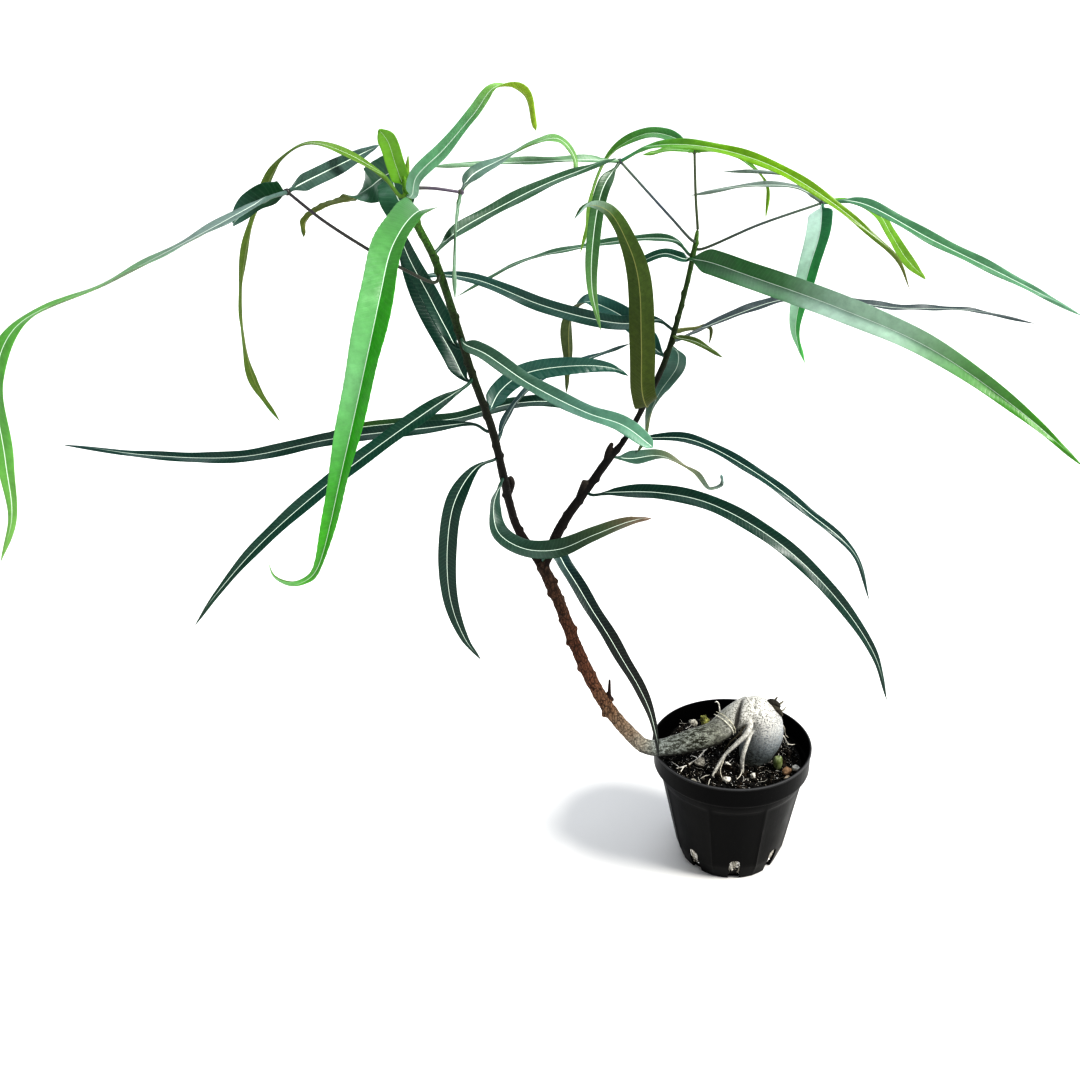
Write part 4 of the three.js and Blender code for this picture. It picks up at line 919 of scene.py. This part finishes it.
STALK_RADIUS = 0.9
STALK_SHARE = 0.02
BLADE_THICKNESS = 0.5
EDGE_ROUNDING = 9
OPENING = 1.5
EDGE_WAVE = 0.5
WAVE_LENGTH = 4.2
WAVE_STRETCH = 0.15
WAVE_SHIFT = 2.1
CRIMP_LENGTH = 4.4
ROW_STEP = 1.7
CRIMPED_ROW_STEP = 0.8
VEIN_SPACING = 2.2
# The pale tone of the painted sheen: a highlight painted into the upper skin's colour
PAINTED_SHEEN_TONE = "#d5ebe3"
# Half width of the pale midrib, and height of the bulge under it, at a leaf's foot and at its tip
MIDRIB_LINE = (0.21, 0.12)
RIB_BULGE = (0.55, 0.15)
RIB_REACH = 0.75
RIB_GROOVE = 0.35
# Where the points of a blade's section lie, from its one edge to the other: close at the edges and by the
# midrib, where the section bends
ACROSS = np.array([-1, -0.975, -0.9, -0.75, -0.55, -0.35, -0.17, -0.07, 0,
                   0.07, 0.17, 0.35, 0.55, 0.75, 0.9, 0.975, 1])
SECTION = np.r_[ACROSS, ACROSS[-2:0:-1]]
UPPER_SIDE = np.r_[np.ones(len(ACROSS)), -np.ones(len(ACROSS) - 2)]


def half_width(t, wide, swell, taper, point):
    """Half a blade's width at the share t of its length: thin along the stalk, opening over `swell`, and
    narrowing from `taper` to the tip as a cosine to the power `point`."""
    s = np.clip((t - STALK_SHARE) / (1 - STALK_SHARE), 0, 1)
    grown = smooth(s / swell) ** 0.8
    narrowed = np.cos(np.clip((s - taper) / (1 - taper), 0, 1) * np.pi / 2) ** point
    stem = STALK_RADIUS * mix(1, 0.45, np.clip(t * 3, 0, 1)) * (1 - 0.75 * smooth((t - 0.93) / 0.07))
    return np.maximum(stem, wide / 2 * grown * narrowed)


def blade(route, wide, turn, upper, under, heading=None, fold=18, swell=0.16, taper=0.42, point=0.75,
          midrib=1, painted_sheen=((0, 0), (0, 0)), crimp=0, seed=0):
    """A blade round its route: a section of two skins, a fixed thickness apart, whose halves lift from the
    midrib by `fold` degrees. The section is level across the leaf's heading, then rolled by `turn`. Its
    edges wave by EDGE_WAVE, in a wave that is longer on a wide blade and shifted between its halves.
    `crimp` ripples it across in mm, and the midrib stands out underneath and shows above for `midrib` of its
    usual width. `painted_sheen` is a painted highlight: how far the upper skin along its two halves is paled
    towards a pale sheen tone. At the stalk the section closes to a circle. Returns points, faces, finishes
    and attributes."""
    rough_length = even_steps(route, 2)[1][-1]
    rows = int(np.clip(rough_length / (CRIMPED_ROW_STEP if crimp else ROW_STEP), 50, 190))
    middle, distance = even_steps(route, rows)
    along = directions(middle)
    t = distance / distance[-1]
    span = middle[-1] - middle[0]
    bearing = np.arctan2(span[1], span[0]) if heading is None else np.radians(heading)
    level = np.array([np.sin(bearing), -np.cos(bearing), 0])
    side = unit(level - (along @ level)[:, None] * along)
    up = np.cross(side, along)
    roll = np.radians(keyed(turn, t))[:, None]
    wide_way = side * np.cos(roll) + up * np.sin(roll)
    face_way = up * np.cos(roll) - side * np.sin(roll)
    half = half_width(t, wide, swell, taper, point)
    opened = smooth((half - STALK_RADIUS) / OPENING)[:, None]
    lift = np.radians(fold) * opened
    x = SECTION[None]
    mm = x * half[:, None]
    skin = BLADE_THICKNESS / 2 * np.sqrt(np.clip(1 - np.abs(x) ** EDGE_ROUNDING, 0, 1)) * UPPER_SIDE
    rib = np.exp(-(mm / RIB_REACH) ** 2) * mix(*RIB_BULGE, t)[:, None]
    skin = skin + np.where(UPPER_SIDE > 0, -RIB_GROOVE * rib, -rib)
    swing = np.sin(distance[:, None] / (WAVE_LENGTH + WAVE_STRETCH * wide) + seed + (x > 0) * WAVE_SHIFT)
    edge = EDGE_WAVE * np.abs(x) ** 2 * swing
    ripple = crimp * np.abs(x) * np.sin((distance[:, None] - 0.6 * np.abs(mm)) * 2 * np.pi / CRIMP_LENGTH)
    settle_in = smooth((t - 0.08) / 0.15)[:, None] * smooth((1 - t) / 0.1)[:, None]
    blade_out = mm * np.cos(lift)
    blade_up = np.abs(mm) * np.sin(lift) + skin + (edge + ripple) * settle_in
    stem = half[:, None] * mix(1, 0.5, opened)
    stem_up = stem * np.sqrt(np.clip(1 - x ** 2, 0, 1)) * UPPER_SIDE
    out = mix(x * stem, blade_out, opened)
    rise = mix(stem_up, blade_up, opened)
    points = middle[:, None] + wide_way[:, None] * out[..., None] + face_way[:, None] * rise[..., None]
    count = len(SECTION)
    is_upper = np.arange(count) < len(ACROSS) - 1
    tone = np.where((UPPER_SIDE > 0)[None, :, None], keyed(linear(upper), t)[:, None],
                    keyed(linear(under), t)[:, None])
    # Painted sheen: each half of the upper skin is paled towards the sheen tone by its keys, a painted
    # highlight
    sheen_share = np.where(x < 0, keyed(painted_sheen[0], t)[:, None], keyed(painted_sheen[1], t)[:, None]) * (UPPER_SIDE > 0)
    tone = mix(tone, linear(PAINTED_SHEEN_TONE)[0], sheen_share[..., None])
    rib_width = midrib * mix(*MIDRIB_LINE, t)[:, None]
    return dict(points=points.reshape(-1, 3), faces=ring_faces(rows, count),
                choice=np.r_[np.tile(~is_upper, rows - 1), 1, 1].astype(int), tint=tone.reshape(-1, 4),
                across=mm.ravel(), rib=(mm / rib_width).ravel(), opened=(opened + 0 * x).ravel(),
                along=(distance[:, None] + 0 * x).ravel())


def leaf_piece(name, parts):
    """One leaf from its blades and stalks, in the CAD leaf's place."""
    points, faces = joined([(part["points"], part["faces"]) for part in parts])
    named = {key: np.concatenate([part[key] for part in parts])
             for key in ("tint", "across", "along", "rib", "opened")}
    choice = np.concatenate([part["choice"] for part in parts])
    leaf = piece(name.replace("leaf", "grown_leaf"), points, faces, [cuticle, underside], choice, **named)
    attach(leaf, "root")
    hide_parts(name)


def from_limb(leaf, route):
    """A leaf's route from its foot on: the place nearest to it on the axis of the limb that the leaf is
    named after, so that its stalk starts in the bark."""
    limb = next(limb for limb in ("trunk", "left_branch", "right_branch") if limb.split("_")[0] in leaf)
    axis = curve_through(WOOD[limb], 40)[:, :3]
    return [axis[np.argmin(np.linalg.norm(axis - route[0], axis=1))].tolist()] + route


def leaf_skin(name, wander, vein, grain, shade, thread, midrib, gloss, relief, shine):
    """One side of a leaf. Side veins leave the midrib at a slant, VEIN_SPACING apart and bent by up to
    `wander` mm; vein is [narrowness, lightness, height], grain [scale, detail] of the mottling and shade
    its [least, most] brightness. The midrib's line fades from thread[0] to thread[1] of its half width and
    is thread[2] strong. relief is [depth in m, strength] and shine [refractive index, specular level]."""
    material, add, place = new_finish(name)
    tint = add("Attribute", attribute_name="tint").outputs["Color"]
    across, along, rib, opened = (add("Attribute", attribute_name=key).outputs["Fac"]
                                  for key in ("across", "along", "rib", "opened"))
    away = add("Math", {0: across}, operation="ABSOLUTE")
    slant = add("Math", {0: away, 1: -0.55, 2: along}, operation="MULTIPLY_ADD")
    drift = add("TexNoise", {"Vector": place, "Scale": 160, "Detail": 2})
    bent = add("Math", {0: drift, 1: wander, 2: slant}, operation="MULTIPLY_ADD")
    phase = add("Math", {0: bent, 1: 2 * np.pi / VEIN_SPACING}, operation="MULTIPLY")
    swing = add("Math", {0: phase}, operation="COSINE")
    line = add("MapRange", {0: swing, 1: vein[0], 2: 1})
    faint = add("Math", {0: line, 1: opened}, operation="MULTIPLY")
    mottle = add("TexNoise", {"Vector": place, "Scale": grain[0], "Detail": grain[1], "Roughness": 0.6})
    bright = add("MapRange", {0: mottle, 1: 0.3, 2: 0.7, 3: shade[0], 4: shade[1]})
    toned = add("VectorMath", {0: tint, 1: bright}, operation="MULTIPLY")
    light = add("Math", {0: faint, 1: vein[1]}, operation="MULTIPLY")
    veined = add("Mix", {0: light, 6: toned, 7: "#9cc4a0"}, data_type="RGBA")
    ridge = add("Math", {0: rib}, operation="ABSOLUTE")
    pale = add("MapRange", {0: ridge, 1: thread[0], 2: thread[1], 3: thread[2], 4: 0})
    shown = add("Math", {0: pale, 1: opened}, operation="MULTIPLY")
    coloured = add("Mix", {0: shown, 6: veined, 7: midrib}, data_type="RGBA")
    uneven = add("MapRange", {0: mottle, 1: 0.25, 2: 0.75, 3: gloss[0], 4: gloss[1]})
    height = add("Math", {0: faint, 1: vein[2], 2: mottle}, operation="MULTIPLY_ADD")
    bump = add("Bump", {"Height": height, "Distance": relief[0], "Strength": relief[1]})
    skin = add("BsdfPrincipled", {"Base Color": coloured, "IOR": shine[0], "Specular IOR Level": shine[1],
               "Roughness": uneven, "Normal": bump})
    add("OutputMaterial", {"Surface": skin})
    return material


# The upper skin of a leaf: a waxed cuticle that gives a satin, slightly uneven gloss. The midrib shows as
# a thin pale line, and fine side veins are sunk a little.
cuticle = leaf_skin("waxed_leaf_cuticle", 1.6, [0.55, 0.035, -1], [240, 4], [0.86, 1.14],
                    [0.75, 1.35, 0.85], "#ecfbec", [0.28, 0.42], [0.00005, 0.5], [1.45, 0.45])
# The under skin: the same leaf without the wax, olive and matte, with a broader raised midrib and the
# side veins standing out.
underside = leaf_skin("matte_leaf_underside", 0, [0.5, 0, 0.8], [420, 5], [0.82, 1.16],
                      [1, 1.9, 0.6], "#a5a468", [0.55, 0.55], [0.00015, 0.6], [1.42, 0.3])

for number, (name, shape) in enumerate(LEAVES.items()):
    made = blade(**{**shape, "route": from_limb(name, shape["route"])}, seed=number * 1.7)
    leaf_piece(name, [made])

# The divided leaves
# Young leaves of the other kind that the tree grows: leaflets that spread from a small knuckle at the end
# of one long round stalk, all grown as one.
DIVIDED_LEAVES = {
    "divided_leaf_left_1": dict(
        stalk_tones="#33382b #2a2b27 #332f35",
        stalk=[[-157, -69, 394], [-169, -76, 401], [-198, -98, 426], [-211, -110, 441]],
        leaflets=[
            dict(
                wide=7.5, turn=[-70, -85, -85, -80],
                route=[[-207, -103, 443], [-194, -84, 448], [-178, -58, 454]],
                upper="#375046 #445e58", under="#526861"),
            dict(
                wide=13, swell=0.12, taper=0.6, point=0.4, turn=[40, 50, 50, 45],
                route=[[-216, -109, 439.5], [-222, -107, 438.5], [-229, -105, 434.5], [-237, -103, 428.5]],
                upper="#0f3f1c #123f28 #356352", under="#3a523b"),
            dict(
                wide=8, fold=6, taper=0.6, turn=[30, 10, -1, -8, -11, 10, 32, 44, 46],
                route=[[-217, -122, 440], [-238, -149, 431], [-265, -178, 420], [-289, -206, 411],
                       [-296, -214, 396], [-298, -218, 368], [-300, -220, 347], [-308, -220, 331]],
                upper="#526a63 #6c7f78 #589044 #569440 #71a051", under="#687770 #608537"),
        ]),
    "divided_leaf_left_2": dict(
        stalk_tones="#4f5a3a #4a4250 #5a4f5f",
        stalk=[[-163, -72, 436], [-155, -65, 435], [-143, -58, 432]],
        leaflets=[
            dict(
                wide=4.5, fold=5, turn=[125, 125, 125],
                route=[[-145, -61, 424], [-148, -64, 402], [-149, -64, 385]],
                upper="#64846a #718e76", under="#608060"),
            dict(
                wide=7, fold=8, swell=0.1, taper=0.72, turn=[-9, -50, -12, 7, -2, -65, -100],
                route=[[-138, -50, 438], [-125, -36, 443], [-108, -24, 449], [-96, -19, 450],
                       [-89, -17, 442], [-88, -16, 432]],
                upper="#274536 #627d71 #6a965c #759d5b", under="#608543"),
        ]),
    "divided_leaf_right_1": dict(
        stalk_tones="#3f4a3a #46505a #5a6a5a",
        stalk=[[-25, 18, 393], [-38, 12, 407], [-65, -2, 437]],
        leaflets=[
            dict(
                wide=6, turn=[30, 30],
                route=[[-83, -9, 439], [-110, -15, 440], [-159, -25, 441]],
                upper="#678d69 #779679", under="#608560"),
            dict(
                wide=7.5, turn=[30, 40, 40],
                route=[[-75, -13, 425], [-81, -20, 400], [-82, -21, 378], [-78, -19, 356]],
                upper="#2c4a31 #426c3e #638c4c", under="#537933"),
            dict(
                wide=5.6, midrib=0.5, turn=[-35, -50, -55, -45, -35],
                route=[[-51, -13, 444], [-27, -30, 444], [0, -45, 436], [25, -56, 421], [46, -62, 404],
                       [59, -63, 392], [66, -62, 378]],
                upper="#4a8a6a #5f9a3a #6f9f1a #729f18 #6b921c #55701f #5a5a30", under="#607533"),
        ]),
    "divided_leaf_right_2": dict(
        stalk_tones="#3f4a3a #47524f #5f6f5f",
        stalk=[[-21, 20, 388], [10, 16, 400], [42, 12, 410]],
        leaflets=[
            dict(
                wide=14, swell=0.08, taper=0.12, point=0.9, midrib=0.6, turn=[-15, -10, -15],
                route=[[38, -1, 396], [31, -9, 378], [25, -13, 350], [31, -12, 331]],
                painted_sheen=[[0, 0, 0, 0], [0.5, 0.6, 0.45, 0.15]],
                upper="#296648 #3c9454 #4ba34b", under="#537943"),
            dict(
                wide=5, turn=[15, 25, 25],
                route=[[31, 20, 417], [8, 33, 418], [-22, 47, 413]],
                upper="#6e7e73 #7a8a81", under="#6c7c6c"),
            dict(
                wide=3.5, turn=[0, 15, 20],
                route=[[33, 28, 421], [16, 42, 424], [-3, 54, 424]],
                upper="#6e7e73 #7a8a81", under="#6c7c6c"),
            dict(
                wide=7.5, turn=[-35, -45, -50],
                route=[[59, 7, 410], [95, -8, 391], [130, -26, 373], [161, -42, 356]],
                upper="#48765a #558560 #6c987c", under="#537943"),
            dict(
                wide=6.5, fold=8, swell=0.5, taper=0.8, midrib=0.4, turn=[-25, -45, -75, -100, -90],
                route=[[55, 21, 410], [78, 31, 400], [87, 36, 389], [98, 38, 374], [110, 38, 362]],
                upper="#519122 #669923 #6e972a", under="#6c8c2e"),
        ]),
    "divided_leaf_right_3": dict(
        stalk_tones="#3f4a30 #46523a #4f5a45",
        stalk=[[-22, 21, 399], [-23, 22, 414], [-24, 22, 438]],
        leaflets=[
            dict(
                wide=7, midrib=0.4, turn=[55, 55, 30, 0, -15],
                route=[[-30, 29, 443], [-46, 37, 447], [-66, 44, 437], [-75, 46, 421], [-80, 47, 398],
                       [-84, 47, 385]],
                upper="#3f774b #4b823d #5d8f1e #789c1a", under="#6c9243"),
            dict(
                wide=5, midrib=0.4, turn=[-35, -40, -40, -30],
                route=[[-10, 34, 437], [8, 46, 429], [21, 51, 416], [21, 51, 398]],
                upper="#326a21 #40771e #729b19", under="#6c8c2e"),
            dict(
                wide=4.5, midrib=0.4, turn=[30, 20],
                route=[[-37, 13, 440], [-53, 4, 439]],
                upper="#4a8328 #5b8936", under="#608537"),
            dict(
                wide=3.5, midrib=0.4, turn=[-30, -20],
                route=[[-15, 11, 439], [-5, 2, 437]],
                upper="#4a8328 #5d8d2f", under="#608537"),
        ]),
}

KNUCKLE_RADIUS = 1.5
KNUCKLE_HALF = 1.8
LONG_STALK_RADIUS = 0.85
LONG_STALK_TAPER = 0.25
LONG_STALK_RINGS = 60
LONG_STALK_SIDES = 12
KNUCKLE_RINGS = 16
for number, (name, shape) in enumerate(DIVIDED_LEAVES.items()):
    hub = shape["stalk"][-1]
    line = from_limb(name, shape["stalk"])
    line = [p + [LONG_STALK_RADIUS - LONG_STALK_TAPER * k / len(line)] for k, p in enumerate(line)]
    stalk = tube(line, LONG_STALK_RINGS, LONG_STALK_SIDES)
    way = unit(np.subtract(hub, shape["stalk"][-2]))
    bulge = np.sin(np.linspace(0.15, np.pi - 0.15, 9))
    steps = np.linspace(-KNUCKLE_HALF, KNUCKLE_HALF, 9)
    knuckle = [[*(hub + way * step), KNUCKLE_RADIUS * wide] for step, wide in zip(steps, bulge)]
    plain_parts = []
    for solid_points, solid_faces in (stalk, tube(knuckle, KNUCKLE_RINGS, LONG_STALK_SIDES)):
        share = np.linspace(0, 1, len(solid_points))
        zero = 0 * share
        tone = keyed(linear(shape["stalk_tones"]), share)
        plain_parts.append(dict(points=solid_points, faces=solid_faces, tint=tone, across=zero, along=zero,
                                rib=zero, opened=zero, choice=np.zeros(len(solid_faces), int)))
    leaflets = [blade(**{**leaflet, "route": [hub] + leaflet["route"]}, seed=number + 2.3 * k)
                for k, leaflet in enumerate(shape["leaflets"])]
    leaf_piece(name, plain_parts + leaflets)

# The loose bits
# Grains of perlite, a slow-release pellet, a scrap of moss and pebbles that lie on the potting mix, each a
# worn lump of its own: [x, y, radius, height for its width], and which of the finishes below it has.
BITS = {
    "white_ball": ([-19, 35, 2.6, 1], "grey_perlite"),
    "yellow_bit": ([-11, 37, 3, 1.2], "moss"),
    "perlite_1": ([-21, -8, 3, 0.8], "grey_perlite"),
    "perlite_2": ([-4, -9, 2, 0.8], "perlite"),
    "perlite_3": ([-7, -25, 2.4, 0.7], "perlite"),
    "perlite_4": ([10, -21, 1.9, 0.8], "perlite"),
    "perlite_5": ([-28, -25, 2, 0.7], "grey_perlite"),
    "green_pellet": ([27, -14, 3.1, 1.7], "pellet"),
    "brown_pebble": ([32, -19, 3, 0.8], "sandstone"),
    "cream_pebble": ([31, -25, 2.2, 0.8], "pumice"),
    "white_pebble": ([38, -16, 2.6, 0.8], "quartz"),
}


def pebble(x, y, radius, stretch, rough, seed):
    """A worn lump: a ball of rings whose radius varies by soft random lumps, stretched upwards, lying on
    the mix."""
    rows, columns = 22, 30
    up = np.linspace(np.pi - 0.02, 0.02, rows)[:, None]
    a = ring_angles(columns)
    ball = around_axis(np.sin(up), a, np.cos(up)).reshape(-1, 3)
    size = 1 + rough * lumps(ball * 10, 7, seed) + 0.5 * rough * lumps(ball * 10, 3.2, seed + 50)
    points = ball * (radius * 0.97 * size)[:, None] * [1, 1, stretch]
    return points + [x, y, soil_height(x, y) + radius * stretch + 0.3], ring_faces(rows, columns)


def grained(name, dark, light, grain, pit, roughness):
    """A material in two tones that change over `grain` mm, with pits `pit` mm deep and as wide as half a
    grain. Noise of scale 1 changes over one metre."""
    material, add, place = new_finish(name)
    tone = add("TexNoise", {"Vector": place, "Scale": 1000 / grain, "Detail": 4})
    pits = add("TexVoronoi", {"Vector": place, "Scale": 2000 / grain})
    share = add("MapRange", {0: tone, 1: 0.36, 2: 0.64})
    coloured = add("Mix", {0: share, 6: dark, 7: light}, data_type="RGBA")
    relief = add("Bump", {"Height": pits.outputs["Distance"], "Distance": pit * 0.001})
    skin = add("BsdfPrincipled", {"Base Color": coloured, "Roughness": roughness, "Normal": relief})
    add("OutputMaterial", {"Surface": skin})
    return material


# Each kind of bit: how lumpy it is, its record slot and its finish
BIT_KINDS = {
    # volcanic glass puffed in a kiln: chalk white, pitted and matte
    "perlite": (0.38, "perlite", grained("expanded_perlite", "#c9c5ba", "#f4f2ec", 1.6, 0.25, 0.9)),
    # the same, stained by the mix
    "grey_perlite": (0.42, "perlite", grained("stained_perlite", "#77736a", "#c9c6bb", 1.4, 0.35, 0.92)),
    # dry clubmoss scrap: yellow-green, rough and matte
    "moss": (0.45, "pellet", grained("dry_moss_scrap", "#4f5330", "#a8a862", 1.2, 0.4, 0.95)),
    # plastic-coated fertiliser: a waxy green skin with pale worn places
    "pellet": (0.1, "pellet", grained("coated_pellet", "#5f6b3e", "#8f9a70", 2.6, 0.05, 0.42)),
    # tumbled brown sandstone: dull and fine grained
    "sandstone": (0.22, "pebble", grained("tumbled_sandstone", "#6b4f3a", "#a98a6c", 1.8, 0.12, 0.7)),
    # cream pumice: porous and matte
    "pumice": (0.25, "perlite", grained("cream_pumice", "#a8927a", "#e0d2bd", 1.5, 0.25, 0.88)),
    # milky quartz: white, with a slight shine
    "quartz": (0.16, "perlite", grained("milky_quartz", "#cfcdc6", "#f3f1ec", 2.4, 0.08, 0.5)),
}
for number, (name, (place, kind)) in enumerate(BITS.items()):
    lumpy, slot, finish = BIT_KINDS[kind]
    bit = piece("worn_" + name, *pebble(*place, lumpy, 20 + number), [finish])
    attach(bit, "root")
    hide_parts(name)

# The fine root
# A thin white side root that lies forked on the mix, with root hairs: woody threads from the plant's
# base, drawn through [x, y, radius] at the mix's height.
FINE_ROOT = [
    [[-9.7, 9.8, 0.4], [-15.3, 7, 0.5], [-21.3, -2, 0.6], [-25.8, -6.6, 0.6], [-31.4, -9.7, 0.5],
     [-36.6, -11.2, 0.4]],
    [[-15.3, 7, 0.45], [-18, 7.6, 0.4], [-20.6, 6.3, 0.3]],
    [[-31.4, -9.7, 0.45], [-34, -14, 0.38], [-36, -18, 0.3]],
    [[-21.3, -2, 0.35], [-24, 0.5, 0.3], [-26, 0, 0.2]],
    [[-34, -10.5, 0.35], [-37, -6.5, 0.3], [-38.5, -3.5, 0.2]],
]

# Dead root bark: off-white, dry and slightly fibrous.
root_bark = grained("dry_root_bark", "#e2ddd1", "#fdfbf5", 3, 0.1, 0.8)
threads = [tube([[x, y, soil_height(x, y) + 1, r] for x, y, r in strand], 14 * len(strand), 8)
           for strand in FINE_ROOT]
root_points, root_faces = joined(threads)
root_points[:, 2] += 0.25 * lumps(root_points, 3, 90)
fine_root = piece("forked_white_root", root_points, root_faces, [root_bark])
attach(fine_root, "root")
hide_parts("fine_root")

# The floor, light and camera
# A plain pale floor under plain soft studio light: one wide soft light high on the right, and one from
# above, in a pale room.
FLOOR_HALF = 6000
floor_paint, add, place = new_finish("plain_pale_floor")
cloud = add("TexNoise", {"Vector": place, "Scale": 3, "Detail": 2})
pale = add("Mix", {0: cloud, 6: "#f5f4f2", 7: "#f8f7f5"}, data_type="RGBA")
skin = add("BsdfPrincipled", {"Base Color": pale, "Roughness": 0.75})
add("OutputMaterial", {"Surface": skin})
corners = np.array([[-1, -1, 0], [1, -1, 0], [1, 1, 0], [-1, 1, 0]]) * FLOOR_HALF
floor = piece("floor", corners, [[0, 1, 2, 3]], [floor_paint])

# The room is white low down and dimmer overhead, up from 0.06 of the way to the zenith.
room = bpy.data.worlds.new("pale_room")
room.use_nodes = True
room.node_tree.nodes.clear()
add = partial(node, room.node_tree)
way = add("TexCoord").outputs["Generated"]
upward = add("SeparateXYZ", {"Vector": way}).outputs["Z"]
dimmed = add("MapRange", {0: upward, 1: 0.06, 2: 0.4, 3: 1, 4: 0.3})
glow = add("Background", {"Color": "#fafcff", "Strength": dimmed})
add("OutputWorld", {"Surface": glow})
bpy.context.scene.world = room


def aimed(name, thing, right, up, back, place=(0, 0, 0)):
    """Puts a lamp or a camera at a place in metres, by its own three directions, and returns it."""
    made = bpy.data.objects.new(name, thing)
    turn = Matrix(np.column_stack([right, up, back]).tolist()).to_4x4()
    made.matrix_world = Matrix.Translation(place) @ turn
    bpy.context.collection.objects.link(made)
    return made


def soft_sun(name, source, strength, spread, tone):
    """A sun that shines from the direction `source`, as wide in the sky as `spread` degrees."""
    lamp = bpy.data.lights.new(name, "SUN")
    lamp.energy = strength
    lamp.angle = np.radians(spread)
    lamp.color = linear(tone)[0][:3]
    back = unit(np.array(source))
    right = unit(np.cross([0, 1, 0], back))
    aimed(name, lamp, right, np.cross(back, right), back)


soft_sun("key_window", (0.75, -0.35, 0.8), 3, 20, "#fffdf8")
soft_sun("overhead_panel", (-0.15, 0.2, 1), 1, 40, "#f2f7ff")

# The camera stands 0.75 m away, looks down 24 degrees and is rolled 3 degrees. Its view is as wide as its
# distance, so the lens is as long as the sensor is wide.
EYE_PLACE = (-0.115, -0.574, 0.486)
SENSOR = 36
PITCH = np.radians(24)
ROLL = np.radians(-2.95)
level_right = np.array([1, 0, 0])
level_up = np.array([0, np.sin(PITCH), np.cos(PITCH)])
view_right = level_right * np.cos(ROLL) + level_up * np.sin(ROLL)
view_up = level_up * np.cos(ROLL) - level_right * np.sin(ROLL)
eye = bpy.data.cameras.new("eye")
eye.lens = SENSOR
eye.sensor_width = SENSOR
eye.clip_start = 0.01
bpy.context.scene.camera = aimed("eye", eye, view_right, view_up, np.cross(view_right, view_up), EYE_PLACE)
bpy.context.scene.view_settings.view_transform = "Standard"
bpy.context.scene.view_settings.look = "High Contrast"
